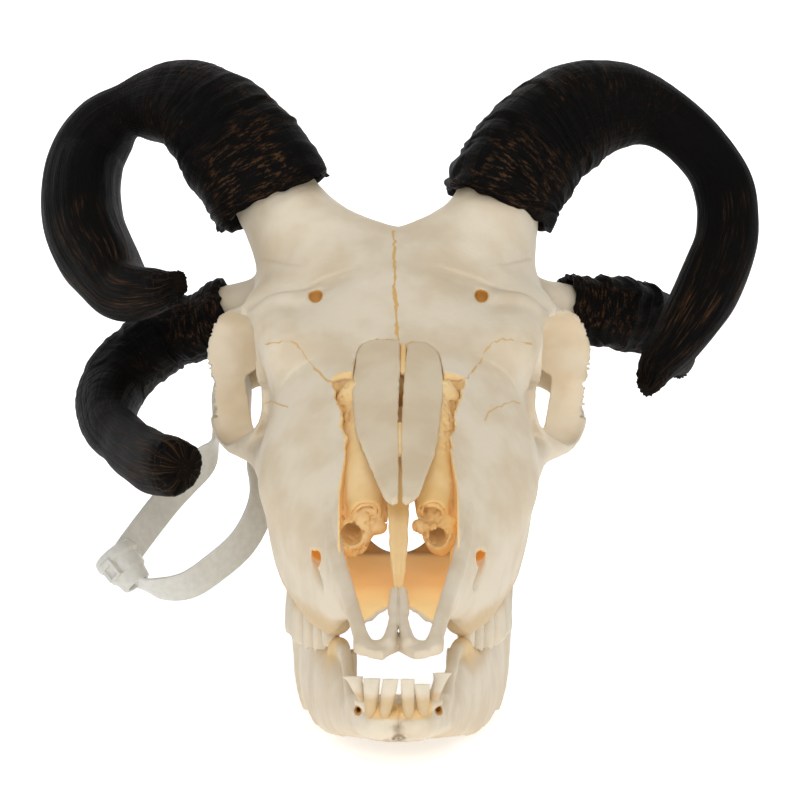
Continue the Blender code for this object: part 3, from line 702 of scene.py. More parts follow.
# %% The head's cross-sections
# How far back each section stands, the height of its middle, and its half outline in (x, z)
FACE_SECTIONS = (
    (15, 15.2, ((0, 18), (7, 18), (10.6, 17.2), (12.2, 14.8), (10.6, 12.6), (7, 13), (0, 14.4))),
    (28, 18, ((0, 24), (8, 24), (14, 23), (17, 19.5), (16, 13.5), (12, 11.8), (7, 13), (0, 14.6))),
    (45, 22, ((0, 38), (10, 37), (16.5, 31), (19.5, 24), (18.5, 14), (13.5, 8), (7, 11), (0, 12.6))),
    (62, 26, ((0, 52), (11, 50), (18.5, 41), (24, 30), (26, 18), (23.5, 5), (18, 2.5),
              (13, 7), (0, 9))),
    (78, 30, ((0, 62), (11, 60), (18.5, 54), (29, 42), (34.4, 29), (32, 14), (28, 0.5),
              (19, 0), (13, 6.5), (0, 8.5))),
    (95, 34, ((0, 69), (11, 68), (19, 65), (32, 54), (41.5, 38), (39, 24), (32.5, 2),
              (22, -1.5), (15, 6), (0, 8))),
    (110, 36, ((0, 75), (12, 74), (22, 71.5), (34.5, 62), (42.2, 44), (41, 26), (35.5, 3),
               (23, -2.5), (15, 5), (0, 7))),
    (124, 40, ((0, 83), (14, 82), (28, 77.5), (36.5, 70), (39.4, 54), (42.4, 38), (38, 12),
               (34.5, -1), (23, -3), (14, 4), (0, 6))),
    (137, 42, ((0, 91), (15, 90), (28, 84.5), (37, 79), (39.5, 66), (39.5, 46), (34, 22),
               (27, 4), (19, 3), (13, 9), (0, 12))),
    (148, 70, ((0, 97), (14, 96), (28, 90.6), (39.5, 83), (44.5, 80), (43, 76), (33, 71),
               (24, 62), (19, 48), (13, 35), (0, 31))),
    (160, 74, ((0, 101.8), (14, 102.4), (28, 98.4), (37, 90), (43.5, 82), (43, 77), (36, 72),
               (28, 62), (23, 48), (15, 34), (0, 30))),
    (172, 74, ((0, 104.2), (13, 106.8), (26, 107), (36, 99), (41, 88), (39, 77), (34, 68),
               (31, 58), (27, 46), (18, 33), (0, 28))),
    (185, 68, ((0, 97.5), (13, 99.5), (25, 101), (35, 96), (39, 85), (37, 76), (34, 66),
               (33, 56), (30, 44), (20, 31), (0, 25))),
    (198, 60, ((0, 89), (13, 89), (26, 86), (35, 76), (36, 64), (35, 54), (36, 44),
               (30, 33), (18, 24), (0, 22))),
    (210, 55, ((0, 78), (14, 78), (27, 74), (36, 62), (37, 50), (34, 38), (24, 28),
               (12, 24), (0, 23))),
    (217, 50, ((0, 70), (12, 69), (22, 63), (27, 52), (24, 40), (16, 30), (0, 27))),
)
RING_ANGLES = 181
# Front edge of the palate: how far back it stands at each distance from the middle
FRONT_EDGE_X = (0, 2.4, 8.2, 9.5, 12.4, 14.5, 30)
FRONT_EDGE_Y = (34.5, 33.5, 20.5, 17.5, 18, 27, 28)


def section_reach(middle, half):
    """How far a section reaches from its middle, for angles from the crown round to below."""
    line = smooth_path(half, 80)
    line[[0, -1], 0] = 0.0
    angle = np.arctan2(line[:, 0], line[:, 1] - middle)
    order = np.argsort(angle)
    reach = np.hypot(line[:, 0], line[:, 1] - middle)
    return np.interp(np.linspace(0.0, math.pi, RING_ANGLES), angle[order], reach[order])


def head_mass():
    """The field of the whole head, without its openings."""
    stations = np.array([s[0] for s in FACE_SECTIONS], dtype=float)
    rows = [np.append(section_reach(m, half), m) for _, m, half in FACE_SECTIONS]
    spread = np.linspace(0.0, len(rows) - 1 - 1e-9, 8*len(rows))
    dense = smooth_path(rows, len(spread))
    along = np.interp(spread, np.arange(len(rows)), stations)
    level = np.arange(stations[0], stations[-1] + 1.0)
    table = np.array([np.interp(level, along, dense[:, k]) for k in range(dense.shape[1])]).T
    reach, middle = table[:, :-1], table[:, -1]
    turn = math.pi/(RING_ANGLES - 1)
    lean = np.gradient(reach, axis=1)/turn/reach
    fall = np.gradient(reach, axis=0)
    true = 1.0/np.sqrt(1.0 + np.clip(lean, -2, 2)**2 + np.clip(fall, -2, 2)**2)

    def distance(p):
        y = np.clip(p[:, 1], level[0], level[-1] - 1e-6) - level[0]
        i = np.minimum(y.astype(int), len(level) - 2)
        t = y - i
        centre = middle[i]*(1 - t) + middle[i + 1]*t
        up = p[:, 2] - centre
        a = np.arctan2(np.abs(p[:, 0]), up)/turn
        j = np.minimum(a.astype(int), RING_ANGLES - 2)
        s = a - j
        near = [(1 - t)*(1 - s), (1 - t)*s, t*(1 - s), t*s]
        spots = ((i, j), (i, j + 1), (i + 1, j), (i + 1, j + 1))
        out = sum(w*reach[k] for w, k in zip(near, spots))
        scale = sum(w*true[k] for w, k in zip(near, spots))
        field = (np.hypot(p[:, 0], up) - out)*scale
        front = np.interp(np.abs(p[:, 0]), FRONT_EDGE_X, FRONT_EDGE_Y)
        field = soft_max(field, front - p[:, 1], 1.2)
        return soft_max(field, p[:, 1] - level[-1], 8.0)

    return distance, np.array((-60.0, level[0], -10.0)), np.array((60.0, level[-1], 120.0))


print("cross-sections:", len(FACE_SECTIONS), "over", FACE_SECTIONS[-1][0] - FACE_SECTIONS[0][0], "mm")


# %% [markdown]
# Each eye socket opens outward and forward behind a thin, sharp rim. A torus would be too even
# for it, so it is worked out in its own frame: a turn round the socket, a reach from its axis
# and a depth along it. A solid plug is added first, so the forehead runs smoothly out to the
# rim, then a well is cut. Behind the eye only the wall between the two is left, as a bar.

# %% Orbit
ORBIT_CENTRE = np.array((51.5, 152.5, 59.5))
ORBIT_OUT = np.array((0.907, -0.415, 0.071))/np.linalg.norm((0.907, -0.415, 0.071))
ORBIT_UP = np.array((0, 0, 1)) - ORBIT_OUT*ORBIT_OUT[2]
ORBIT_UP = ORBIT_UP/np.linalg.norm(ORBIT_UP)
ORBIT_BACK = np.cross(ORBIT_UP, ORBIT_OUT)
RIM_TURN = (-180, -165, -150, -135, -115, -99, -84, -68, -57, -48, -36, -20, -12, -6, 0, 8, 20,
            38, 59, 85, 105, 124, 138, 148, 156, 168, 175, 180)
RIM_REACH = (21.6, 23.8, 23.0, 21.3, 20.6, 20.6, 20.8, 21.0, 20.6, 20.2, 20.0, 19.6, 20.0, 21.8, 23.6,
             24.5, 24.6, 23.3, 21.0, 20.0, 20.8, 23.8, 26.0, 22.5, 17.6, 17.0, 18.0, 21.6)
RIM_LEAN = 0.25
DEEP_REACH = 21.5
BAR_DEPTH = 11.5
ROOF_DEPTH = 14.0
WELL_DEPTH = 25.0
NOTCH_TURNS = np.arange(-46, 44, 3.4)
NOTCH_DEPTHS = (0.9, 1.7)
NOTCH_HALF = 0.55


def orbit_frame(p):
    """Turn, reach and depth of points about the orbit."""
    q = p - ORBIT_CENTRE
    back = q @ ORBIT_BACK
    up = q @ ORBIT_UP
    return np.arctan2(up, back), np.hypot(back, up), -(q @ ORBIT_OUT)


def rim_reach(turn, depth):
    """How far the inner wall stands from the orbit's axis."""
    reach = np.interp(np.degrees(turn), RIM_TURN, RIM_REACH)
    deep = np.maximum(depth, 0.0)
    round_off = np.clip(depth/10.0, 0.0, 1.0)
    reach = reach + (DEEP_REACH - reach)*0.8*round_off
    return reach - RIM_LEAN*depth - 0.004*deep**2


def orbit_plug():
    """The solid that the socket is cut from, down to the depth of the bar."""
    def distance(p):
        turn, reach, depth = orbit_frame(p)
        wall = reach - rim_reach(turn, depth) - 1.0 - 0.09*np.clip(depth, 0, 14)
        deep = BAR_DEPTH + ROOF_DEPTH*step_between(-0.22, 0.3, turn)
        deep = deep - 1.5*step_between(-0.6, -1.3, turn)
        deep = deep + ROOF_DEPTH*step_between(1.6, 2.4, np.abs(turn))
        ends = np.maximum(-depth, depth - deep)
        return soft_max(wall*0.97, ends, 0.8)

    spread = 26.0 + BAR_DEPTH + ROOF_DEPTH
    return distance, ORBIT_CENTRE - spread, ORBIT_CENTRE + spread


def orbit_socket():
    """The hollow of the eye: a well that narrows inward."""
    def distance(p):
        turn, reach, depth = orbit_frame(p)
        well = (reach - rim_reach(turn, depth))*0.95
        return soft_max(well, depth - WELL_DEPTH, 6.0)

    spread = 40.0
    return distance, ORBIT_CENTRE - spread, ORBIT_CENTRE + spread


def rim_teeth():
    """Small notches that leave the outer edge of the bar saw-toothed."""
    notches = []
    rng = np.random.default_rng(7)
    for degrees in NOTCH_TURNS:
        turn = math.radians(degrees + rng.uniform(-1.0, 1.0))
        reach = float(rim_reach(turn, 0.0)) + 1.2
        spot = ORBIT_CENTRE + ORBIT_BACK*(reach*math.cos(turn)) + ORBIT_UP*(reach*math.sin(turn))
        deep = rng.uniform(*NOTCH_DEPTHS)
        notches.append(pebble(spot, (deep, deep, NOTCH_HALF)))
    return notches


print("orbit:", round(2*float(np.mean(RIM_REACH)), 1), "mm across and", WELL_DEPTH, "mm deep")


# %% [markdown]
# The nose is open in front of the forehead. A cut with a box or a row of balls would leave the
# same edge all along, so its hollow is a channel whose width and floor change along the snout,
# with lumps that leave its upper edge ragged.

# %% Hollows
NOSE_STATIONS = (8, 30, 36, 45, 62, 70, 77, 80, 81.5, 85, 89, 93, 97, 101, 112)
NOSE_HALF_WIDTHS = (12.4, 15.1, 16.0, 17.2, 17.2, 15.6, 15.4, 16.2, 17.2, 16.4, 17.4, 18.2, 18.9, 19.7, 19.0)
NOSE_FLOOR_STATIONS = (8, 28, 45, 62, 80, 94, 104, 110)
NOSE_FLOOR = (13.4, 15.4, 15.4, 14.5, 13.5, 12.5, 12, 12)
NOSE_EDGE = 102.0
NOSE_BACK = 113.0


def nose_gap(p):
    """Distance to the open space of the nose, below zero inside."""
    half = np.interp(p[:, 1], NOSE_STATIONS, NOSE_HALF_WIDTHS)
    floor = np.interp(p[:, 1], NOSE_FLOOR_STATIONS, NOSE_FLOOR)
    rough = (0.6*lumps(p, 2.4, 5) + 0.35*lumps(p, 1.2, 6))*step_between(46, 56, p[:, 2])
    side = np.abs(p[:, 0]) - half - rough
    end = NOSE_EDGE + (NOSE_BACK - NOSE_EDGE)*step_between(65, 56, p[:, 2])
    return soft_max(soft_max(side, floor - p[:, 2], 5.0), p[:, 1] - end - rough, 1.0)


def nose_hollow():
    """The channel of the nose as a form."""
    return nose_gap, np.array((-22.0, 0.0, 8.0)), np.array((22.0, 112.0, 130.0))


print("nose opening:", round(2*max(NOSE_HALF_WIDTHS), 1), "mm wide at most")


# %% [markdown]
# Two flat nose bones roof the nose. They narrow to blunt tips and stand a little apart along
# the middle. A bent, cut plane with a Solidify modifier could make them, but its edge would be
# square, so a field joins the leaf-shaped outline seen from above to a curved sheet, and
# rounds the edge where the two meet.

# %% Nose bones
NASAL_LEFT = ((1.0, 41.2), (0.8, 60), (1.0, 78), (1.5, 91), (2.0, 101), (2.5, 110), (3.2, 113),
              (7.7, 114.8), (10.2, 113.6), (12.0, 111.5), (13.0, 107), (13.5, 101), (13.5, 95),
              (12.9, 87.5), (12.1, 78), (10.8, 66.5), (9.3, 59.5), (7.6, 52), (6.2, 46), (4.2, 42),
              (2.2, 40.4))
NASAL_RIGHT = ((-0.1, 41.0), (0.1, 60), (-0.1, 78), (0.2, 90), (0.5, 100), (0.4, 110), (0.2, 113.8),
               (-3.4, 114.8), (-7.2, 116), (-9.7, 115.8), (-11.6, 114.6), (-12.7, 111.5), (-13.3, 106),
               (-13.8, 98.5), (-13.7, 91), (-13.2, 84), (-12.5, 76.5), (-10.9, 69), (-9.0, 61),
               (-6.9, 53), (-5.3, 47), (-3.8, 42.6), (-1.8, 40.2))
NASAL_Y = (38.5, 44, 52, 64, 78, 90, 101, 108, 113, 116.5)
NASAL_CROWN = (43.7, 46.6, 50.6, 56.4, 62.8, 68.2, 72.6, 75.4, 77.6, 79.0)
NASAL_BEND_Y = (80, 110)
NASAL_BEND = (0.027, 0.016)
NASAL_THICK = 1.1
SEAM = 0.12


def nasal_top(p):
    """Height of the nose bones' upper face."""
    crown = np.interp(p[:, 1], NASAL_Y, NASAL_CROWN)
    return crown - np.interp(p[:, 1], NASAL_BEND_Y, NASAL_BEND)*p[:, 0]**2


def nasal_form(side):
    """One nose bone."""
    outline = smooth_path(NASAL_LEFT if side > 0 else NASAL_RIGHT, 100)

    def distance(p):
        ragged = 0.16*lumps(p, 2.0, 11 + side)
        flat = outline_distance(p[:, 0], p[:, 1], outline) + ragged
        deep = np.abs(p[:, 2] - nasal_top(p) + NASAL_THICK)*0.9 - NASAL_THICK
        return soft_max(flat, deep, 0.8)

    return distance


def nasal_seat():
    """The space that the nose bones take out of the forehead."""
    left, right = smooth_path(NASAL_LEFT, 60), smooth_path(NASAL_RIGHT, 60)

    def distance(p):
        flat = np.minimum(outline_distance(p[:, 0], p[:, 1], left),
                          outline_distance(p[:, 0], p[:, 1], right))
        return np.maximum(flat - SEAM, nasal_top(p) - 2*NASAL_THICK - SEAM - p[:, 2])

    return distance, np.array((-15.0, 96.0, 60.0)), np.array((15.0, 118.0, 90.0))


print("nose bones:", NASAL_Y[-1] - NASAL_Y[0], "mm long and", 2*NASAL_THICK, "mm thick")


# %% [markdown]
# The bone of the head is one field. Boolean modifiers could join and cut its forms too, but
# with hard edges and often with faults. Here the mass, the horn cores, the eye plugs and the
# cheek arches are added, then the hollows and the small nerve holes are cut, and the air way
# behind the nose lets light through. The upper horn cores differ, so they aren't mirrored.

# %% Bone of the head
UPPER_CORE_LEFT = ((20, 168, 84, 13.6), (25, 175, 94.5, 14.2), (30, 182.4, 105, 14.2),
                   (34.5, 188, 117, 12), (39, 192, 123, 7))
UPPER_CORE_RIGHT = ((22, 168, 84, 13.6), (27.5, 175, 94, 14.2), (35, 182.4, 105, 14.4),
                    (44, 188, 117, 12), (50, 192, 122, 7))
LOWER_CORE = ((33, 180, 78, 9), (44, 185, 77, 7.8), (53, 187.5, 75.6, 7.4), (62, 190, 73, 6))
CHEEK_ARCH = ((38.5, 126, 36, 5.4), (43.4, 138, 38.4, 4.6), (49.6, 150, 39.4, 4.8),
              (54.0, 163, 41.8, 4.0), (55.2, 178, 45.6, 3.6), (50.5, 189, 51, 4.0), (40, 198, 56, 6))
ARCH_ROOT = ((35.5, 195, 46), (7.5, 9, 7))
BROW = ((35, 127, 73, 5), (38.6, 139, 78, 5.6), (39.4, 151, 79.6, 5.4), (37, 162, 82, 5))
# The base of the skull: neck joint, spur beside it, ear bulb, middle bar and wings
NECK_JOINT = ((12, 220, 33), (8.5, 8, 11), (20, 0, 0))
NECK_SPUR = ((27, 206, 34, 6), (28, 208, 20, 4), (27, 209, 8, 2.2))
EAR_BULB = ((19, 194, 18), (7, 11, 9))
BASE_BAR = ((0, 198, 24.5), (11, 24, 6))
NAPE_CREST = ((-32, 209, 62, 3.4), (0, 215, 77, 3.4), (32, 209, 62, 3.4))
THROAT_WING = ((13, 140, 19), (2.6, 27, 15), (-8, 0, 0))
SPINE_HOLE = ((0, 203, 44, 7), (0, 214, 42, 8.5), (0, 232, 38, 10))
AIR_WAY = ((0, 88, 30, 13), (0, 112, 25, 12), (0, 136, 15, 11.5), (0, 168, 2, 10.5))
BROW_HOLE = ((25.9, 132, 88.8, 1.95), (25.7, 141.4, 87.0, 1.9))
CHEEK_HOLE = ((22.4, 58, 22.6, 2.0), (23.6, 72, 24.4, 2.6), (25, 92, 27, 2.0))
CHEEK_GROOVE = ((22.8, 55, 15.5, 1.2), (23.4, 60, 19.5, 1.6), (23.6, 64, 23, 1.8))
GUM = ((17.6, 62.5, 2.4, 3.6), (19.4, 66, 1.4, 3.8), (22.4, 75, 3.2, 4.8))


def skull_clay():
    """Every form of the bone between the front teeth and the back of the head."""
    clay = Clay()
    clay.add(head_mass())
    clay.add(limb(UPPER_CORE_LEFT), 14.0, False)
    clay.add(limb([(-x, y, z, r) for x, y, z, r in UPPER_CORE_RIGHT]), 14.0, False)
    clay.add(limb(LOWER_CORE), 9.0)
    clay.add(limb(CHEEK_ARCH), 5.0)
    clay.add(limb(BROW), 14.0)
    clay.add(orbit_plug(), 5.0)
    clay.add(pebble(*ARCH_ROOT), 4.0)
    clay.add(pebble(*NECK_JOINT), 3.0)
    clay.add(limb(NECK_SPUR), 4.0)
    clay.add(pebble(*EAR_BULB), 3.0)
    clay.add(pebble(*BASE_BAR), 5.0)
    clay.add(limb(NAPE_CREST), 5.0, False)
    clay.add(pebble(*THROAT_WING), 3.0)
    clay.add(limb(GUM), 4.0)
    clay.cut(nose_hollow(), 0.9)
    clay.cut(nasal_seat(), 0.4, False)
    clay.cut(limb(AIR_WAY), 1.5)
    clay.cut(limb(SPINE_HOLE), 1.5)
    clay.cut(orbit_socket(), 0.5)
    clay.cut(limb(CHEEK_GROOVE), 2.0)
    clay.cut(limb(CHEEK_HOLE), 0.9)
    clay.cut(limb(BROW_HOLE), 0.7)
    for notch in rim_teeth():
        clay.cut(notch, 0.4)
    return clay


def weathered(field):
    """The field with faint unevenness, as grown bone has."""
    def distance(p):
        base = field(p)
        return base + 0.16*lumps(p, 9.0, 3) + 0.07*lumps(p, 3.1, 4)

    return distance


skull_mesh = grown(weathered(skull_clay()), "skull")
print("skull:", len(skull_mesh.polygons), "faces at", round(time.time() - START, 1), "s")


# %% [markdown]
# Cheek teeth are tall columns with upright ribs, and each chewing face carries crescent
# ridges. The lower front teeth are thin shovels with a narrow neck. A sculpted tooth would
# have to be copied by hand, so one function stacks rounded outlines for every cheek tooth,
# adds ribs by angle and ridges by height, and another sweeps a front tooth along its curve.

# %% Teeth
# Each cheek tooth from front to back: middle across, middle along, width, length, chewing level
UPPER_TEETH = (
    (20.2, 68.4, 5.0, 6.4, -6.4), (22.6, 75.4, 6.0, 7.0, -9.0), (24.6, 82.4, 8.4, 7.2, -10.2),
    (26.6, 91.5, 11.6, 12.2, -10.5), (28.4, 106.2, 12.4, 15.8, -11.5), (28.8, 123.4, 11.6, 17.6, -11.5))
LOWER_TEETH = (
    (15.6, 63.5, 4.4, 5.4, -6.5), (18.4, 70.4, 5.4, 7.2, -8.6), (20.6, 78.8, 6.2, 8.4, -10.4),
    (22.4, 90.0, 7.0, 11.6, -11.7), (23.6, 104.8, 7.4, 15.4, -12.6), (24.6, 123.0, 7.2, 19.4, -12.5))
# Each front tooth from the middle outward: root across and along, tip across, along and up, half width
FRONT_TEETH_RIGHT = (
    (3.9, 2.2, 2.2, -3.4, 2.1, 2.3), (7.9, 3.6, 7.5, -2.6, 2.1, 2.4), (9.5, 7.0, 13.0, 0.6, 1.9, 3.0))
FRONT_TEETH_LEFT = (
    (2.9, 2.2, 2.5, -3.4, 2.1, 2.0), (7.0, 3.4, 6.6, -2.8, 0.5, 2.3), (9.4, 7.0, 12.5, 1.6, 2.6, 2.8))
JAW_SWAY = 0.9
TOOTH_AROUND = 40
TOOTH_GAP = 0.35
TOOTH_CORNER = 0.62
UPPER_ROOT = 7.0
LOWER_ROOT_DEPTH = 12.0
# Share of the full outline and depth below the chewing face, from its middle to the neck
CROWN_LEVELS = ((0.0, 0.0), (0.25, 0.0), (0.5, 0.0), (0.72, 0.0), (0.88, 0.0), (0.95, 0.5),
                (1.0, 1.6), (1.02, 3.5), (1.0, 6), (0.97, 9), (0.92, 13))
FRONT_AROUND = 28
FRONT_RINGS = 22


def cheek_tooth(x, y, width, length, crown, root, seed):
    """Points and faces of one cheek tooth, from the middle of its chewing face to its root."""
    way = math.copysign(1.0, root - crown)
    turns = np.linspace(0, 2*math.pi, TOOTH_AROUND, endpoint=False)
    cx = np.sign(np.cos(turns))*np.abs(np.cos(turns))**TOOTH_CORNER
    cy = np.sign(np.sin(turns))*np.abs(np.sin(turns))**TOOTH_CORNER
    cusps = max(1, round(length/7))
    ribs = 0.05*np.cos((2*cusps + 1)*math.pi*(cy + 1)/2)*np.abs(cx)
    rings = []
    for swell, fall in (*CROWN_LEVELS, (0.8, abs(root - crown))):
        reach = swell*(1 + ribs*min(1.0, swell*1.2))
        px = x + 0.5*width*reach*cx
        py = y + 0.5*(length - TOOTH_GAP)*reach*cy
        pz = np.full(TOOTH_AROUND, crown + way*fall)
        if fall <= 0.5:
            wave = np.cos(2*math.pi*cusps*(py - y)/length)
            rise = 0.9*wave*np.exp(-((swell - 0.72)/0.22)**2) - 0.5*math.exp(-(swell/0.35)**2)
            pz = pz - way*rise
        rings.append(np.stack([px, py, pz], axis=-1))
    points = np.concatenate(rings)
    points = points + 0.1*np.stack([lumps(points, 1.7, seed + k) for k in range(3)], axis=-1)
    return points, tube_faces(len(rings), TOOTH_AROUND)


def tube_faces(rows, around):
    """Faces between rows of points that run round, first and last row closed by fans."""
    row = np.arange(rows - 1)[:, None]*around
    now = np.arange(around)[None]
    after = (now + 1) % around
    return np.stack([row + now, row + after, row + around + after, row + around + now],
                    axis=-1).reshape(-1, 4)


def front_tooth(values, side, seed):
    """Points and faces of one lower front tooth: a narrow neck that widens to a thin edge."""
    root_x, root_y, tip_x, tip_y, tip_z, half = values
    tip = np.array((tip_x, tip_y, tip_z))
    flare = step_between(9.0, 12.0, tip_x)
    root = np.array((root_x*0.95, root_y + 2.5, -13.0 + 3.0*flare))
    neck = np.array((root_x, root_y - 0.6, -9.8 + 2.4*flare))
    keys = np.array([(*root, 1.2, 1.5), (*neck, 1.55, 1.8),
                     (*(neck + (tip - neck)*0.45), (0.5 - 0.12*flare)*(half + 1.7), 1.7),
                     (*(neck + (tip - neck)*0.8), half*(0.96 - 0.24*flare), 1.2), (*tip, half, 0.35)])
    line = smooth_path(keys, FRONT_RINGS)
    turns = np.linspace(0, 2*math.pi, FRONT_AROUND, endpoint=False)
    rings = []
    for row in line:
        px = side*(row[0] + row[3]*np.cos(turns))
        py = row[1] + row[4]*np.sin(turns)
        rings.append(np.stack([px, py, np.full(FRONT_AROUND, row[2])], axis=-1))
    cap = line[-1]
    rings.append(np.tile((side*cap[0], cap[1], cap[2] + 0.15), (FRONT_AROUND, 1)))
    points = np.concatenate(rings)
    points = points + 0.08*np.stack([lumps(points, 1.5, seed + k) for k in range(3)], axis=-1)
    return points, tube_faces(len(rings), FRONT_AROUND)


def gather(pieces):
    """Many sets of points and faces as one mesh."""
    points, faces, count = [], [], 0
    for p, f in pieces:
        points.append(p)
        faces.append(f + count)
        count += len(p)
    return mesh_from("gathered", np.concatenate(points), np.concatenate(faces))


def closed(mesh):
    """The mesh with open ends filled, repeated points merged and faces turned outward."""
    made = bmesh.new()
    made.from_mesh(mesh)
    bmesh.ops.remove_doubles(made, verts=made.verts, dist=0.001)
    bmesh.ops.holes_fill(made, edges=[e for e in made.edges if e.is_boundary], sides=0)
    bmesh.ops.recalc_face_normals(made, faces=made.faces)
    made.to_mesh(mesh)
    made.free()
    for face in mesh.polygons:
        face.use_smooth = True
    return mesh


def upper_row():
    """Both rows of upper cheek teeth."""
    pieces = []
    for number, (x, y, width, length, low) in enumerate(UPPER_TEETH):
        for side in (1, -1):
            pieces.append(cheek_tooth(side*x, y, width, length, low, UPPER_ROOT, 70 + number + side))
    return closed(gather(pieces))


def lower_row(side):
    """One side's lower cheek teeth and front teeth."""
    pieces = []
    for number, (x, y, width, length, high) in enumerate(LOWER_TEETH):
        root = high - LOWER_ROOT_DEPTH
        pieces.append(cheek_tooth(side*x + JAW_SWAY, y, width, length, high, root, 80 + number + side))
    for number, values in enumerate(FRONT_TEETH_LEFT if side > 0 else FRONT_TEETH_RIGHT):
        pieces.append(front_tooth(values, side, 90 + number + side))
    return closed(gather(pieces))


print("cheek teeth on each side:", len(UPPER_TEETH), "above and", len(LOWER_TEETH), "below")


# %% [markdown]
# Each horn is a hollow sheath of dark horn over a bone core, with rings near its base, a keel
# along its length, and a ragged rim where it leaves the skull. A bevelled curve would sweep the
# curl too, but every ring would be the same circle. So rings of points are set along the curve
# in code, and each point reaches as far as radius, keel, wrinkles, grooves and frays say.

# %% Horns
UPPER_HORN_LEFT = (
    (30.9, 184, 108.4, 18.8), (34.6, 187, 116.8, 18.6), (45, 197, 129, 18.0), (58, 207, 136.5, 16.8),
    (73, 213, 138, 13.8), (86.5, 215, 133.5, 10.2), (98, 212, 124, 9.2), (105.5, 205, 112, 9.6),
    (106, 195, 97, 10.2), (99, 183, 81, 10.2), (89, 169, 68, 8.4), (81, 156, 61, 5.8),
    (77.5, 148, 56, 2.6))
UPPER_HORN_RIGHT = (
    (40.8, 184, 109.2, 20.0), (44.8, 186.4, 116.6, 19.8), (51.2, 192, 124.2, 19.4), (59, 200, 132.2, 17.6),
    (69, 208, 137.5, 15.0), (80, 213, 137, 12.2), (88.4, 215, 135, 8.9), (95, 215.5, 130, 10.9),
    (100.6, 213, 121.5, 12.2),
    (102.4, 205, 112, 13.0), (100.8, 195, 101, 13.0), (95, 183, 92, 12.2), (87, 168, 85, 9.8),
    (75, 152, 87, 7.0), (68, 144, 91, 3.4),
)
LOWER_HORN_LEFT = (
    (53.5, 187.5, 75.5, 11.0), (62, 190.5, 74.4, 11.4), (72, 195, 72.8, 11.6), (82, 204, 68.4, 10.4),
    (90, 216, 60.5, 7.8), (94, 229, 51, 4.6), (94, 238, 45, 2.4))
LOWER_HORN_RIGHT = (
    (53, 187, 74, 10.8), (63, 189.5, 68.8, 11.0), (75.2, 192, 64.4, 11.2), (86.2, 190, 56.4, 11.2),
    (92.4, 182, 48.8, 10.6), (92, 167, 42, 9.0), (85.4, 151, 38.8, 8.6), (77, 133, 37.2, 9.4),
    (70.5, 121, 37.6, 9.4), (66.8, 114.8, 38.2, 7.8), (65.6, 113, 38.4, 4.0),
)
HORN_AROUND = 128
HORN_RINGS = 300
HORN_KEEL = 0.07
HORN_UP = (0.3, -0.9, 0.35)
WRINKLE_REACH = 46.0
RIM_WALL = 2.0
# Wall and depth of the rings that turn the rim inward, from the deepest
RIM_RINGS = ((RIM_WALL, 6.0), (RIM_WALL, 1.2), (RIM_WALL*0.6, 0.0))


def sweep_frames(path, up):
    """Ahead, side and normal at each point of a path, the normal kept near one direction."""
    ahead = np.gradient(path, axis=0)
    ahead = ahead/np.linalg.norm(ahead, axis=1)[:, None]
    side = np.cross(ahead, up)
    side = side/np.linalg.norm(side, axis=1)[:, None]
    return ahead, side, np.cross(side, ahead)


def even_line(keys, count):
    """A smooth line through keys with points evenly spaced, and how far along each one lies."""
    line = smooth_path(keys, 4*count)
    gaps = np.linalg.norm(np.diff(line[:, :3], axis=0), axis=1)
    reach = np.concatenate([[0.0], np.cumsum(gaps)])
    spots = np.linspace(0, reach[-1], count)
    return np.stack([np.interp(spots, reach, line[:, k]) for k in range(4)], axis=-1), spots


def unrolled(spots, turns):
    """The sheath's points laid out on a straight rod, so that patterns follow the curl."""
    shape = (len(spots), len(turns))
    return np.stack([np.broadcast_to(np.cos(turns)*10.0, shape),
                     np.broadcast_to(np.sin(turns)*10.0, shape),
                     np.broadcast_to(spots[:, None], shape)], axis=-1)


def wrinkles(wrap, seed):
    """Rings across the horn that wander round it and fade away from its base."""
    flat = wrap.reshape(-1, 3)
    wave = lumps(flat*np.array((0.35, 0.35, 0.0)), 2.0, seed)
    broad = lumps(np.stack([wave*2.0, 0*wave, flat[:, 2] + 2.2*wave], axis=-1), 2.3, seed + 1)
    fine = lumps(np.stack([wave, 0*wave, flat[:, 2] + 1.4*wave], axis=-1), 1.1, seed + 5)
    return (broad + 0.5*fine).reshape(wrap.shape[:2])*np.exp(-(wrap[..., 2]/WRINKLE_REACH)**2)


def horn_reach(radius, wrap, turns, far, seed):
    """How far each point stands from the horn's line: keel, wrinkles, grooves and frayed tip."""
    shape = wrap.shape[:2]
    flat = wrap.reshape(-1, 3)
    grooves = lumps(flat*np.array((1.0, 1.0, 0.05)), 0.8, seed + 2).reshape(shape)
    swell = lumps(flat*np.array((0.4, 0.4, 0.5)), 5.0, seed + 3).reshape(shape)
    frayed = lumps(flat*np.array((0.6, 0.6, 0.9)), 1.0, seed + 6).reshape(shape)
    lobes = 1.0 + HORN_KEEL*np.cos(3*turns)[None]
    size = radius*lobes + 0.9*wrinkles(wrap, seed) + 0.16*grooves*(0.4 + far) + 0.35*swell
    size = size + 0.9*frayed*step_between(0.93, 0.99, far)
    return np.maximum(size, 0.3)


def rim_slide(turns, rings, seed):
    """How far the first rings are pushed along the horn, which leaves its rim ragged."""
    rim = lumps(np.stack([np.cos(turns)*9, np.sin(turns)*9, 0*turns], axis=-1), 1.6, seed + 4)
    slide = np.zeros((rings, len(turns)))
    slide[:3] = 0.9*rim[None]*np.array((1.0, 0.6, 0.3))[:, None]
    return slide


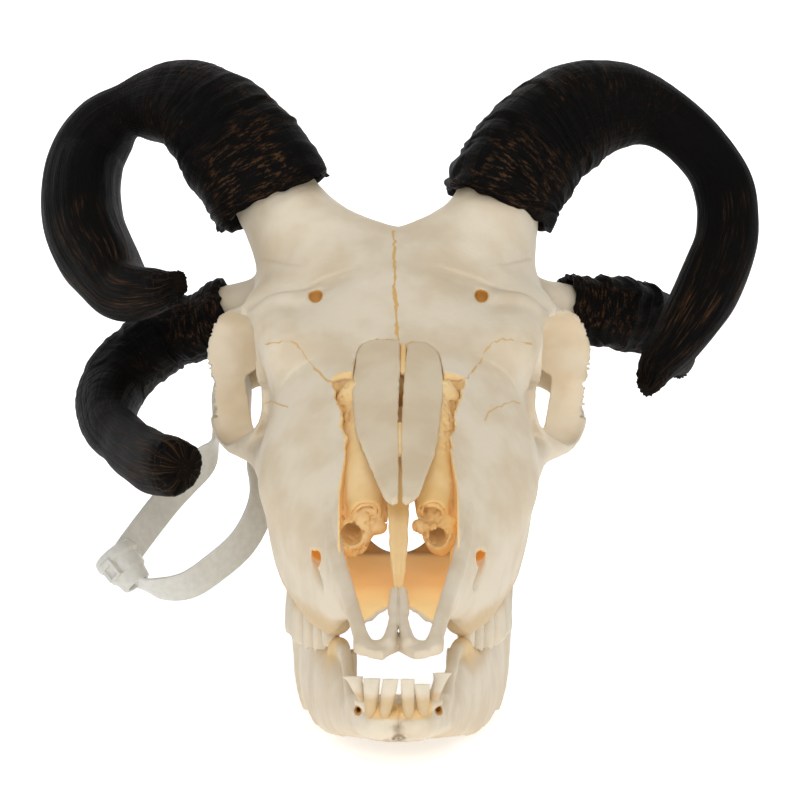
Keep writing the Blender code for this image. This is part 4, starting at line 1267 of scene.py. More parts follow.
def horn_points(path, frames, size, slide, turns):
    """Rings of points: first the inner side of the rim, then the outer face up to the tip."""
    ahead, across, normal = frames
    outer = path[:, None] + across[:, None]*(size*np.cos(turns))[..., None]
    outer = outer + normal[:, None]*(0.9*size*np.sin(turns))[..., None]
    outer = outer + ahead[:, None]*slide[..., None]
    inner = []
    for wall, depth in RIM_RINGS:
        ring = path[0] + across[0]*((size[0] - wall)*np.cos(turns))[:, None]
        ring = ring + normal[0]*(0.9*(size[0] - wall)*np.sin(turns))[:, None]
        inner.append(ring + ahead[0]*(depth + slide[0][:, None]))
    return np.concatenate([np.array(inner), outer])


def horn_mesh(keys, side, seed):
    """One horn sheath with its rings, keel, ragged rim and broken tip."""
    line, spots = even_line(keys, HORN_RINGS)
    path = line[:, :3]*np.array((side, 1, 1))
    frames = sweep_frames(path, np.array(HORN_UP)*(side, 1, 1))
    turns = np.linspace(0, 2*math.pi, HORN_AROUND, endpoint=False)
    wrap = unrolled(spots, turns)
    far = spots[:, None]/spots[-1]
    size = horn_reach(line[:, 3:4], wrap, turns, far, seed)
    points = horn_points(path, frames, size, rim_slide(turns, len(path), seed), turns)
    rows, extra = len(points), len(RIM_RINGS)
    mesh = mesh_from("horn", points.reshape(-1, 3), tube_faces(rows, HORN_AROUND))
    wrap = np.concatenate([np.repeat(wrap[:1], extra, axis=0), wrap])
    track_points(mesh, "wrap", wrap.reshape(-1, 3))
    far = np.concatenate([np.zeros((extra, 1)), far])
    mark_points(mesh, "far", np.broadcast_to(far, (rows, HORN_AROUND)).ravel())
    return closed(mesh)


for horn_keys in (UPPER_HORN_LEFT, UPPER_HORN_RIGHT, LOWER_HORN_LEFT, LOWER_HORN_RIGHT):
    print("horn:", round(float(even_line(horn_keys, 100)[1][-1])), "mm along its curl")


# %% [markdown]
# A flat plastic strap is looped round the right cheek arch and closed by a moulded lock. The
# strap could be a curve with a flat bevel, but that turns on its own way, so its cross-section
# is set out here along two chosen axes, low down and at the arch. The lock is a turned barrel,
# so its field needs no more than a reach along one axis.

# %% Strap and lock
STRAP_WIDTH = 10.4
STRAP_THICK = 1.4
STRAP_AROUND = 32
STRAP_RINGS = 240
STRAP_AXIS = np.array((0.66, 0.38, -0.65))
ARCH_AXIS = np.array((0.12, 0.95, -0.22))
STRAP_ROUTE = (
    (-88, 150, 0), (-83, 157, 6.1), (-75, 167, 15.1), (-69.2, 173, 20.7), (-63.9, 178, 25.4),
    (-59.6, 182, 30.5), (-58.6, 184.5, 38), (-58.8, 185, 47), (-56.6, 184.5, 54), (-52, 182.5, 56.8),
    (-48.6, 179.5, 52), (-48.4, 175, 42), (-46.8, 170, 32), (-43.8, 164, 22), (-44.4, 158, 14.6),
    (-49.4, 152.4, 6.0), (-57.6, 148, -0.8), (-66.5, 145.5, -6.2), (-76, 146, -7.4), (-84, 149.4, -5.4),
)
LOCK_AXIS = np.array((0.62, -0.35, -0.70))/np.linalg.norm((0.62, -0.35, -0.70))
LOCK_SIDE = np.cross(LOCK_AXIS, (0.2, 0.9, 0.3))/np.linalg.norm(np.cross(LOCK_AXIS, (0.2, 0.9, 0.3)))
LOCK_HALF = 6.6
LOCK_ALONG = (-6.6, -4.0, -3.2, -2.4, 2.0, 2.6, 3.4, 6.6)
LOCK_REACH = (7.0, 7.4, 7.3, 6.5, 6.3, 5.6, 5.3, 4.8)
LOCK_MOUTH = 3.3


def strap_mesh():
    """The band, with rounded edges."""
    path = smooth_path(STRAP_ROUTE, STRAP_RINGS)
    ahead = np.gradient(path, axis=0)
    ahead = ahead/np.linalg.norm(ahead, axis=1)[:, None]
    turn = step_between(25, 33, path[:, 2])[:, None]
    axis = STRAP_AXIS*(1 - turn) + ARCH_AXIS*turn
    wide = axis - ahead*np.sum(ahead*axis, axis=1)[:, None]
    wide = wide/np.linalg.norm(wide, axis=1)[:, None]
    out = np.cross(ahead, wide)
    turns = np.linspace(0, 2*math.pi, STRAP_AROUND, endpoint=False)
    u = np.sign(np.cos(turns))*np.abs(np.cos(turns))**0.25*STRAP_WIDTH/2
    v = np.sign(np.sin(turns))*np.abs(np.sin(turns))**0.6*STRAP_THICK/2
    points = path[:, None] + wide[:, None]*u[:, None] + out[:, None]*v[:, None]
    return closed(mesh_from("strap", points.reshape(-1, 3), tube_faces(len(path), STRAP_AROUND)))


def lock_form(p):
    """The moulded barrel that closes the band: stepped rings, an open end and a raised catch."""
    q = p - LOCK_CENTRE
    along = q @ LOCK_AXIS
    across = q @ LOCK_SIDE
    up = q @ np.cross(LOCK_AXIS, LOCK_SIDE)
    reach = np.hypot(across, up)
    body = soft_max(reach - np.interp(along, LOCK_ALONG, LOCK_REACH), np.abs(along) - LOCK_HALF, 0.9)
    mouth = np.maximum(reach - LOCK_MOUTH, 2.2 - along)
    body = soft_max(body, -mouth, 0.4)
    catch = np.maximum(np.abs(across) - 2.6, np.maximum(np.abs(along + 1.0) - 3.2, np.abs(up - 6.4) - 1.5))
    slot = np.maximum(np.abs(across) - 1.4, np.maximum(np.abs(along + 0.4) - 1.8, 6.9 - up))
    return soft_min(body, soft_max(catch, -slot, 0.3), 0.5)


print("strap:", STRAP_WIDTH, "mm wide; lock:", 2*LOCK_HALF, "mm long")


# %% [markdown]
# The two front bones hold no teeth in a sheep. Each is a thin outer bar that runs up the side
# of the nose, a thin inner rod, and a flat plate that joins them at the tip. A block with holes
# cut in it would look heavy, so the bars are added one by one, and the spaces left between them
# are the long openings of the palate.

# %% Front bones
FRONT_BAR = ((10.2, 2.5, 9.8, 1.9), (10.9, 8, 12.2, 2.1), (12.8, 18, 16, 2.2), (15.2, 30, 20.3, 2.4),
             (18.0, 44, 25.8, 2.6), (19.6, 56, 31, 2.4), (20.4, 64, 37, 1.8))
FRONT_ROD = ((2.8, 6, 10.4, 1.7), (1.9, 12, 12.2, 1.7), (1.25, 19, 14.2, 1.5), (1.5, 24, 15.6, 1.7),
             (1.2, 34, 18.5, 1.4))
TIP_PLATE = ((-0.8, 8.4), (1.4, 5.2), (4.4, -0.4), (8.0, -1.2), (12.2, 0.8), (12.4, 4.4), (10.4, 7.6),
             (7.6, 6.4), (5.2, 8.2), (3.4, 12), (3.0, 16), (-0.8, 16))
FRONT_GAP = 0.0


def front_form():
    """Both front bones, short of the middle by the gap between them."""
    clay = Clay()
    clay.add(limb(FRONT_BAR), 1.5)
    clay.add(limb(FRONT_ROD), 1.2)
    clay.add(shelf(TIP_PLATE, 1.35, lambda p: 8.0 + 0.24*(p[:, 0] - 4.0) + 0.16*p[:, 1], 0.9), 2.0)

    def distance(p):
        base = clay(p) + 0.12*lumps(p, 2.4, 21)
        return soft_max(base, FRONT_GAP - np.abs(p[:, 0]), 0.4)

    return distance


print("front bones reach", FRONT_BAR[-1][1], "mm back along the nose")


# %% [markdown]
# Inside the nose stand paper-thin rolled bones. A rolled-up plane would need its thickness and
# its ragged edge made apart. One on each side is a true scroll, so its field measures the
# distance to a spiral instead. The other is a swollen mass over an open funnel, with small
# wells that make it look like sponge.

# %% Rolled bones
SCROLL_START = np.array((9.6, 58.5, 36.0))
SCROLL_END = np.array((10.4, 92.0, 57.0))
SCROLL_REACH = 5.5
SCROLL_TURNS = 1.7
SCROLL_WALL = 0.5


def scroll_form(side):
    """A rolled sheet along a line."""
    run = SCROLL_END - SCROLL_START
    length = np.linalg.norm(run)
    ahead = run/length

    def distance(p):
        q = p*np.array((side, 1, 1)) - SCROLL_START
        along = q @ ahead
        rest = q - along[:, None]*ahead
        u, v = rest[:, 0], rest[:, 2]/0.93
        swell = 0.85 + 0.3*np.sin(np.clip(along/length, 0, 1)*math.pi)
        reach = np.hypot(u, v)/swell
        turn = np.mod(np.arctan2(v, u) + 0.6 + 0.25*side, 2*math.pi)/(2*math.pi)
        best = np.full(len(p), FAR)
        for lap in range(3):
            wound = turn + lap
            spiral = SCROLL_REACH*(1.0 - 0.42*wound/SCROLL_TURNS)
            gap = np.abs(reach - spiral)*swell
            gap = np.where(wound > SCROLL_TURNS, np.maximum(gap, 2.0), gap)
            best = np.minimum(best, gap)
        ends = np.maximum(-along, along - length) + 0.8*lumps(p, 2.5, 31)
        return soft_max(best - SCROLL_WALL - 0.12*lumps(p, 1.8, 32), ends, 0.6)

    return distance


MASS_RIGHT = ((10.4, 61, 33, 4.8), (10.2, 68, 39, 6.7), (10.2, 78, 46.5, 7.0), (10.0, 92, 56, 7.0),
              (9.4, 104, 62, 6.4))
MASS_LEFT = ((11.6, 63, 33, 4.2), (11.2, 70, 42, 5.8), (10.8, 79, 49, 6.4), (10.2, 92, 57, 6.8),
             (9.4, 104, 62, 6.4))
FOLD_RIGHT = ((5.8, 59.5, 32.0, 2.3), (6.2, 65, 36, 3.2), (6.6, 78, 44, 4.0))
FOLD_LEFT = ((6.0, 58.5, 32.5, 2.0), (9.4, 58.6, 31.8, 2.0), (14.6, 60, 33.4, 2.4))
FUNNEL_RIGHT = ((13.4, 58, 28.4, 5.0), (12.6, 64, 31, 5.4), (12.0, 78, 37, 5.6))
FUNNEL_LEFT = ((12.2, 58, 28.4, 4.6), (12.0, 64, 31, 5.2), (12.0, 78, 37, 5.6))
MOUTH_RIGHT = ((14.0, 50, 32.0, 3.4), (13.8, 58, 30.2, 3.2), (13.0, 68, 32, 2.6))
MOUTH_LEFT = ((11.4, 50, 31.0, 2.6), (11.4, 58, 29.2, 2.5), (11.6, 68, 31.6, 2.2))
BRIDGE = ((15.6, 96, 57, 3.0), (14.8, 98, 62, 4.0), (12.0, 101, 66, 4.0))


def swollen_form(side):
    """The other rolled bone: a swollen mass over an open funnel, with folds and small pits."""
    mass, fold, funnel, mouth = ((MASS_LEFT, FOLD_LEFT, FUNNEL_LEFT, MOUTH_LEFT) if side > 0 else
                                 (MASS_RIGHT, FOLD_RIGHT, FUNNEL_RIGHT, MOUTH_RIGHT))
    clay = Clay()
    clay.add(limb(mass), 1.5, False)
    clay.add(limb(funnel), 1.2, False)
    clay.add(limb(fold), 0.8, False)
    clay.add(limb(BRIDGE), 1.5, False)
    clay.cut(limb(mouth), 0.8, False)

    def distance(p):
        q = p*np.array((side, 1, 1))
        wells = np.maximum(0.0, lumps(p, 1.3, 41 + side) - 0.05)
        folds = 0.55*lumps(p*np.array((1.0, 0.3, 0.6)), 2.6, 43 + side)
        return clay(q) + 1.5*wells + folds

    return distance


def rolled_form(side):
    """Both rolled bones of one side, grown together."""
    scroll, swollen = scroll_form(side), swollen_form(side)
    return lambda p: soft_min(scroll(p), swollen(p), 0.8)


STRIP_BACK = ((1.4, 99, 70.8, 0.9), (1.4, 106, 73.4, 0.9), (1.5, 113, 76.2, 0.9))
STRIP_FRONT = ((0.5, 61, 53.6, 0.9), (0.4, 67, 56.4, 0.9), (0.4, 74, 59.6, 0.9))


def strip_form():
    """Two short ridges that show between the nose bones."""
    clay = Clay()
    clay.add(limb(STRIP_BACK), 0.5, False)
    clay.add(limb(STRIP_FRONT), 0.5, False)
    return clay


print("scroll:", round(float(np.linalg.norm(SCROLL_END - SCROLL_START))), "mm long,", SCROLL_TURNS, "turns")


# %% [markdown]
# A thin upright plate parts the nose in the middle. It leans back as it rises and thickens
# towards its top, where a groove runs along it. A box could be cut to its outline, but its
# thickness has to change with height, which a field does with one look-up.

# %% Middle plate of the nose
VOMER_OUTLINE = ((33.5, 15), (36, 24), (50, 36), (66, 47), (84, 55), (104, 60), (116, 50),
                 (120, 36), (112, 20), (100, 10))
VOMER_LEVEL = (17, 20, 24, 30, 38, 60)
VOMER_HALF = (0.9, 1.5, 2.1, 2.6, 3.0, 3.1)


def vomer_form(p):
    """The upright plate, thicker towards its top edge."""
    half = np.interp(p[:, 2], VOMER_LEVEL, VOMER_HALF)
    flat = outline_distance(p[:, 1], p[:, 2], VOMER_OUTLINE)
    dent = 0.7*np.exp(-(p[:, 0]/0.9)**2)
    side = np.abs(p[:, 0]) - half + 0.25*lumps(p, 2.8, 51)
    return soft_max(flat + dent, side, 1.0)


print("middle plate:", 2*VOMER_HALF[-1], "mm thick at its top")


# %% [markdown]
# The lower jaw is two halves that meet at the chin. It could be one mirrored mesh, but a loose
# jaw lies a little to one side, so each half is grown with that sway. The tooth-bearing body is
# a run of rounded sections, the upright branch behind is a thin plate, and a knob on it meets
# the skull. The whole is cut flat where it rests, so that it can't sink into the floor.

# %% Lower jaw
# Each section of the jaw's body: how far back, inner side, outer side, bottom and top
JAW_SECTIONS = np.array((
    (-1.0, -6.0, 6.0, -13.4, -10.6), (1.0, -8.8, 8.8, -15.8, -9.6), (4, -11.0, 11.0, -17.6, -8.4),
    (10, -12.8, 12.8, -19.8, -7.2), (20, -14.6, 14.6, -22.2, -8.5), (29, -16.0, 16.0, -24.2, -11),
    (34, 2.6, 16.8, -25.4, -12), (45, 9, 19.2, -28.0, -11.0), (57, 13, 22.0, -31.0, -6.8),
    (68, 15, 24.4, -33.8, -6.4), (80, 17, 26.6, -36.4, -8.4), (100, 19, 29.8, -39.8, -11),
    (120, 21.5, 31.4, -42.6, -12.5), (138, 24.4, 32.4, -45.6, -12), (150, 27.4, 33.4, -47.6, -8)),
    dtype=float)
BRANCH_OUTLINE = ((138, -45), (150, -48.5), (158, -49.6), (166, -48.6), (175, -41), (180, -28),
                  (183, -8), (186, 12), (191, 30), (189, 35), (184, 33), (180, 38), (180, 52),
                  (176, 57), (170, 50), (163, 32), (156, 12), (148, -6), (138, -16))
JAW_CREST = ((11.6, 20, -10.5, 2.2), (13.0, 30, -12.2, 2.0), (14.8, 42, -9.0, 1.7),
             (16.2, 53, -4.6, 1.6), (17.4, 60, -4.0, 1.8), (18.8, 66, -5.4, 2.0))
CHIN_EDGE = ((0, 2.6, -10.0, 2.1), (4, 3.0, -9.6, 2.1), (8.4, 4.6, -7.4, 2.0), (11, 8.0, -7.4, 1.6))
JAW_KNOB = ((39.5, 187.5, 33.5), (8.5, 4.4, 3.6))
CHIN_SPLIT = ((0, -2, -16.2, 1.1), (0, 4, -18.4, 1.5))
CHIN_HOLE = ((11.9, -4, -7.7, 0.7), (11.7, 7.4, -9.9, 0.95), (11, 14, -11.2, 0.7))
FLOOR_LEVEL = -25.2
HALF_GAP = -0.12


def jaw_body():
    """The tooth-bearing body of one half."""
    stations = JAW_SECTIONS[:, 0]

    def distance(p):
        y = np.clip(p[:, 1], stations[0], stations[-1])
        inner, outer, low, high = (np.interp(y, stations, JAW_SECTIONS[:, k]) for k in range(1, 5))
        half, tall = (outer - inner)/2, (high - low)/2
        u = np.abs(p[:, 0] - (inner + outer)/2)/half
        v = np.abs(p[:, 2] - (low + high)/2)/tall
        power = np.interp(y, (12, 60), (2.7, 2.0))
        size = (u**power + v**power)**(1/power)
        side = (size - 1.0)*np.minimum(half, tall)
        ends = np.maximum(stations[0] - p[:, 1], p[:, 1] - stations[-1])
        return soft_max(side, ends, 3.5)

    return distance, np.array((-16.0, stations[0], -50.0)), np.array((36.0, stations[-1], 0.0))


def branch_middle(_, z):
    """How far out the upright branch stands; its lower edge turns in."""
    return 29.4 + 0.09*(z + 46) - 0.016*np.maximum(0.0, -32 - z)**2


def jaw_clay():
    """One half of the lower jaw, for the side where x is positive."""
    clay = Clay()
    clay.add(jaw_body(), 1.0, False)
    clay.add(plate(BRANCH_OUTLINE, 2.4, branch_middle, 2.0), 4.0, False)
    clay.add(pebble(*JAW_KNOB), 2.0, False)
    clay.add(limb(JAW_CREST), 3.0, False)
    clay.add(limb(CHIN_EDGE), 1.5, False)
    clay.cut(limb(CHIN_HOLE), 0.6, False)
    clay.cut(limb(CHIN_SPLIT), 0.8, False)
    return clay


def jaw_form(side):
    """One half, short of the middle and flat where it rests."""
    clay = jaw_clay()

    def distance(p):
        q = p*1.0
        q[:, 0] = side*(q[:, 0] - JAW_SWAY*step_between(15, 90, p[:, 1]))
        base = clay(q) + 0.14*lumps(p, 5.0, 61) + 0.06*lumps(p, 2.1, 62)
        pitted = step_between(24, 6, p[:, 1])*step_between(6, 0.5, np.abs(p[:, 0]))
        base = base + 2.2*pitted*np.maximum(0.0, lumps(p, 1.7, 63) + 0.05)
        base = soft_max(base, HALF_GAP - q[:, 0], 0.5)
        height = p @ TILT[2]
        return soft_max(base, FLOOR_LEVEL - height, 0.4)

    return distance


print("jaw body:", JAW_SECTIONS[-1, 0] - JAW_SECTIONS[0, 0], "mm long")


# %% [markdown]
# Bone is ivory with warm stains where it was porous or shaded from bleaching, and horn is nearly
# black with brown fibres along it. Painted pictures would need every mesh unwrapped. Instead
# each mesh carries marks that say where a stain lies, and noise in the shader breaks them up.
# A faint glow of its own in the hollows is painted light that brightens their shade, and the
# grime mark also paints shade under the chin.

# %% Finishes
IVORY = rgb(0.69, 0.57, 0.405)
PALE = rgb(0.78, 0.685, 0.535)
TAN = rgb(0.66, 0.49, 0.28)
ORANGE = rgb(0.86, 0.60, 0.27)
RUST = rgb(0.58, 0.29, 0.06)
GRIME_AND_SHADE = rgb(0.30, 0.21, 0.12)
NASAL_TAN = rgb(0.66, 0.53, 0.355)
NASAL_DEEP = rgb(0.68, 0.46, 0.22)
NASAL_PALE = rgb(0.73, 0.62, 0.45)
NOSE_AMBER = rgb(0.74, 0.48, 0.19)
NOSE_DEEP = rgb(0.64, 0.34, 0.08)
NOSE_PALE = rgb(0.82, 0.60, 0.31)
SEAM_BROWN = rgb(0.70, 0.42, 0.13)
ENAMEL = rgb(0.72, 0.64, 0.50)
TOOTH_BROWN = rgb(0.62, 0.38, 0.15)
HORN_BLACK = rgb(0.0022, 0.0019, 0.0017)
HORN_BROWN = rgb(0.062, 0.03, 0.0125)
TAG_GREY = rgb(0.50, 0.49, 0.44)
TAG_PALE = rgb(0.56, 0.55, 0.50)
TAG_GLOW = rgb(0.8, 0.8, 0.78)
TAG_LIGHT = 0.1
PAINTED_GLOW = 0.22


def bone_finish(name, base, deep, pale=PALE):
    """Smooth bone with faint blotches, pores, warm stains and grime, painted shade, and a painted glow in
    the hollows.
    """
    look = Finish(name)
    spot = look.track("skull")
    blotch = look.noise(spot, 0.05, 3.0)
    fine = look.noise(spot, 0.6, 5.0)
    colour = blotch.bands(0.35, 0.65).blend(base, pale)
    colour = (look.mark("warm")*(0.75 + 0.5*fine)).bands(0.15, 0.75).blend(colour, TAN)
    colour = (look.mark("stain")*(0.7 + 0.6*fine)).bands(0.2, 0.8).blend(colour, deep)
    colour = look.mark("rust").bands(0.1, 0.8).blend(colour, RUST)
    # Grime and painted shade: a brown-grey for grime, which also paints shade under the chin and in the
    # crack between the jaw's halves.
    dirt_and_shade = look.mark("grime_and_shade")*(0.5 + fine)
    colour = dirt_and_shade.bands(0.1, 0.9).blend(colour, GRIME_AND_SHADE)
    look.set(Base_Color=colour, Roughness=0.42 + 0.2*fine)
    # Painted glow: points marked inner give off a faint light of their own, which brightens the shade in the
    # hollows.
    look.set(Emission_Color=colour*look.mark("inner"), Emission_Strength=PAINTED_GLOW)
    pores = look.pits(spot, 1.6).bands(0.0, 0.25)
    look.relief(0.75*fine + 0.25*pores, 0.35, 0.0004)
    look.set(Specular_IOR_Level=0.35)
    return look


bone_look = bone_finish("bone", IVORY, ORANGE)
nasal_look = bone_finish("nasal_bone", NASAL_TAN, NASAL_DEEP, NASAL_PALE)
nose_look = bone_finish("turbinate_bone", NOSE_AMBER, NOSE_DEEP, NOSE_PALE)
seam_look = bone_finish("seam", IVORY, SEAM_BROWN)
tooth_look = bone_finish("tooth", ENAMEL, TOOTH_BROWN)


def horn_finish():
    """Near-black horn with brown fibres along it."""
    look = Finish("horn")
    wrap = look.track("wrap")
    far = look.mark("far")
    fibre = look.noise(wrap*(1.0, 1.0, 0.05), 1.3, 6.0, 0.7)
    ring = look.noise(wrap*(0.12, 0.12, 1.0), 0.55, 5.0, 0.65, 0.6)
    speck = look.noise(wrap*(0.45, 0.45, 1.5), 1.0, 6.0, 0.75)
    patch = look.noise(wrap*(0.5, 0.5, 0.35), 0.14, 4.0)
    near = far.bands(0.1, 0.55, 1.0, 0.0)
    tip = far.bands(0.5, 0.95)
    streak = fibre.bands(0.47, 0.72)*(patch + 0.4*tip - 0.6*near).bands(0.46, 0.85)
    dust = speck.bands(0.5, 0.62)*near*patch.bands(0.35, 0.6)*(0.4 + fibre)
    brown = (streak + dust).bands(0.0, 1.0)
    colour = brown.blend(HORN_BLACK, HORN_BROWN)
    look.set(Base_Color=colour, Roughness=0.34 + 0.35*fibre)
    look.relief(0.5*fibre + 0.9*ring*near, 0.9, 0.0014)
    look.set(Specular_IOR_Level=0.06)
    return look


def tag_finish():
    """Pale grey plastic with a faint painted glow all over."""
    look = Finish("tag_plastic")
    fine = look.noise(look.track("skull"), 0.5, 3.0)
    look.set(Base_Color=fine.bands(0.3, 0.7).blend(TAG_GREY, TAG_PALE), Roughness=0.3 + 0.12*fine)
    # Painted glow: the plastic gives off a faint light of its own.
    look.set(Emission_Color=TAG_GLOW, Emission_Strength=TAG_LIGHT)
    look.relief(fine, 0.2, 0.0002)
    return look


horn_look = horn_finish()
tag_look = tag_finish()
print("finishes:", len(bpy.data.materials))


# %% [markdown]
# Old bone is stained where roots, soil and dried tissue touched it: inside the nose, in the eye
# sockets, round the nerve holes and above the teeth. The marks could be painted by hand, but
# the same forms that cut the hollows can say how near each point lies to them, so the stains
# follow every later change. The bone of the head is marked first and set in the room.

# %% Stain marks
def near(p, keys, reach):
    """One on points that lie close to a limb's line, and nought beyond its reach."""
    best = np.full(len(p), FAR)
    for spot in smooth_path(keys, 24):
        best = np.minimum(best, np.linalg.norm(p - spot[:3], axis=1))
    return step_between(reach, 0.7*reach, best)


def plain_marks(mesh, warm=0.0, stain=0.0, inner=0.0):
    """The same marks all over a mesh."""
    count = len(mesh.vertices)
    mark_points(mesh, "warm", np.full(count, warm))
    mark_points(mesh, "stain", np.full(count, stain))
    mark_points(mesh, "inner", np.full(count, inner))
    return mesh


def stain_skull(mesh):
    """Marks on the skull's points: warm where it is sheltered, stained inside the nose, and a painted glow
    in the hollows.
    """
    p = mesh_points(mesh)
    hollow = nose_gap(p)
    inside = step_between(0.8, 0.15, hollow)*step_between(114, 104, p[:, 1])
    q = p*1.0
    q[:, 0] = np.abs(q[:, 0])
    turn, reach, depth = orbit_frame(q)
    short = rim_reach(turn, depth) - reach
    socket = step_between(-0.6, 1.2, short)*step_between(-1.0, 2.0, depth)*step_between(30, 24, depth)
    rows = 0.7*step_between(11, 2, q[:, 2])*step_between(126, 112, q[:, 1])*step_between(50, 62, q[:, 1])
    cheek_hole = near(q, CHEEK_HOLE, 3.4)
    holes = np.maximum(near(q, BROW_HOLE, 2.6), cheek_hole)
    mark_points(mesh, "warm", np.maximum(np.maximum(0.4*socket, 0.6*inside), rows))
    mark_points(mesh, "stain", np.maximum(inside, holes))
    mark_points(mesh, "rust", 0.75*holes)
    # The inner mark paints a glow that brightens the shaded nose floor, eye sockets and cheek holes.
    low = step_between(46, 30, p[:, 2])
    mark_points(mesh, "inner", np.maximum(np.maximum(1.3*inside*low, 1.7*socket), 1.8*cheek_hole))


stain_skull(skull_mesh)
skull_rays = BVHTree.FromPolygons(mesh_points(skull_mesh).tolist(),
                                  [tuple(face.vertices) for face in skull_mesh.polygons])
place_piece("skull_bone", skull_mesh, bone_look, ("cranium", "upper_jaw"))


# %% [markdown]
# The bones of the nose are thin and lie close to each other. Grown in one field with the head
# they would melt into it, so each is a piece of its own on a finer grid, with the same stain
# and the same painted glow all over. The left and right ones come from the same functions.

# %% Nose pieces
SIDES = ((1, "left"), (-1, "right"))

for side, word in SIDES:
    nasal = plain_marks(grown(nasal_form(side), "nasal", side))
    place_piece("nose_bone_" + word, nasal, nasal_look, ("nasal_" + word,))

front = plain_marks(grown(front_form(), "front"))
place_piece("front_bones", front, bone_look, ("premaxilla_left", "premaxilla_right"))

# The rolled bones, ridges and middle plate carry a painted glow that brightens the shaded inside of the
# nose.
for side, word in SIDES:
    roll = plain_marks(grown(rolled_form(side), "roll", side), 0.0, 0.2, 0.35)
    place_piece("rolled_bone_" + word, roll, nose_look, ("turbinate_" + word,))

ridges = plain_marks(grown(strip_form(), "ridges"), 0.0, 0.2, 0.5)
place_piece("nose_ridges", ridges, nose_look, ())

vomer = plain_marks(grown(vomer_form, "middle"), 0.0, 0.3, 0.5)
place_piece("middle_plate", vomer, nose_look, ())


# %% [markdown]
# The lower jaw is warm above its cheek teeth's roots and low on its front, stained at the front
# gum and grimy where its halves meet, and painted shade darkens the chin's underside and the
# crack between the halves. Its marks are given as steps along the jaw's own axes, because those
# places are plain ranges there. The teeth get marks by height: clean at the edge, brown at the neck.

# %% Lower jaw and teeth
def stain_jaw(mesh, side):
    """Marks on one half of the jaw: the tooth edge, the nerve hole, the joint at the chin, and painted shade
    under the chin.
    """
    p = mesh_points(mesh)
    q = p*np.array((side, 1, 1))
    mouth = step_between(-12.2, -9.0, q[:, 2])*step_between(9, 6, q[:, 1])*step_between(10.4, 8.8, q[:, 0])
    joint = step_between(3.4, 0.4, q[:, 0])*step_between(16, 8, q[:, 1])*step_between(-10.5, -13, q[:, 2])
    rows = step_between(-19, -8, q[:, 2])*step_between(50, 60, q[:, 1])*step_between(108, 92, q[:, 1])
    # The second part makes the front of the jaw body warmer towards its bottom.
    rows = np.maximum(rows, 0.5*step_between(-14, -24, q[:, 2])*step_between(45, 20, q[:, 1]))
    mark_points(mesh, "warm", np.maximum(0.9*mouth, 0.75*rows))
    split = near(q, CHIN_SPLIT, 2.6)
    gum = step_between(-15, -7, q[:, 2])*step_between(50, 60, q[:, 1])*step_between(86, 66, q[:, 1])
    chin_hole = near(q, CHIN_HOLE, 1.7)
    mark_points(mesh, "stain", np.maximum(np.maximum(0.8*mouth, 0.55*gum), chin_hole))
    mark_points(mesh, "rust", np.maximum(chin_hole, 0.3*mouth))
    # Painted shade darkens the chin's underside and the crack between the halves, and the joint gets grey
    # grime.
    below = step_between(-16.4, -19.6, q[:, 2])*step_between(40, 10, q[:, 1])
    mark_points(mesh, "grime_and_shade", np.maximum(np.maximum(0.55*joint, 0.4*below), 0.9*split))
    return mesh


def stain_teeth(mesh):
    """Front teeth are clean at their edges and stained at their necks."""
    p = mesh_points(mesh)
    front = step_between(20, 12, p[:, 1])
    root = (1 - front)*step_between(0.5, 3.5, np.where(p[:, 2] > -6, p[:, 2], -p[:, 2] - 11))
    mark_points(mesh, "warm", 0.15 + 0.75*np.maximum(front*step_between(-1.0, -6.5, p[:, 2]), root))
    mark_points(mesh, "stain", np.maximum(0.4*front*step_between(-6.0, -9.5, p[:, 2]), 0.5*root))
    mark_points(mesh, "grime_and_shade", 0.22*front)
    return mesh


for side, word in SIDES:
    half = stain_jaw(grown(jaw_form(side), "jaw", side), side)
    place_piece("jaw_half_" + word, half, bone_look, ("mandible_" + word,))
    row = stain_teeth(lower_row(side))
    place_piece("lower_teeth_" + word, row, tooth_look, ())

place_piece("upper_teeth", stain_teeth(upper_row()), tooth_look, ())


# %% [markdown]
# The seams where the head's bones meet are thin ragged lines of warm brown. As a mark on the
# bone's own points they would blur, because its mesh is about as coarse as they are wide. So
# each is given by the picture columns and rows that it runs through: rays from the camera find
# the bone there, and a narrow strip is laid on it that thins and thickens along its way.

# %% Seams
SEAM_BROW_HIGH = ((393.7, 230.7), (394.5, 245.4), (395, 268))
SEAM_BROW_LOW = ((395, 266), (395.4, 279), (394, 287.4), (396.2, 304), (397, 321), (396.6, 333.6),
                 (399.6, 341))
SEAM_NOSE_LEFT = ((406, 342.8), (421, 342.8), (431.5, 352.5), (440, 365), (444, 380))
SEAM_NOSE_RIGHT = ((355.9, 382), (353.8, 363), (358, 354.6), (368.5, 342.8), (379, 340),
                   (391.6, 340), (399, 342))
SEAM_TEAR_LEFT = ((532, 344), (517.6, 340.7), (503, 339), (492.4, 342.8), (484, 352.5), (479.8, 363),
                  (467, 377.7), (458.8, 382), (446, 379))
SEAM_TEAR_RIGHT = ((264.8, 345.4), (276, 342.8), (288.7, 341), (297, 344), (305.5, 356.7),
                   (316, 369.3), (326.5, 379.8), (335, 382.7), (351.7, 378.5))
SEAM_CHEEK_LEFT = ((484, 421.8), (490, 412), (496, 408), (507, 403), (515, 401), (521.8, 403))
SEAM_CHEEK_RIGHT = ((264, 404), (272, 401), (280, 404), (289, 408))
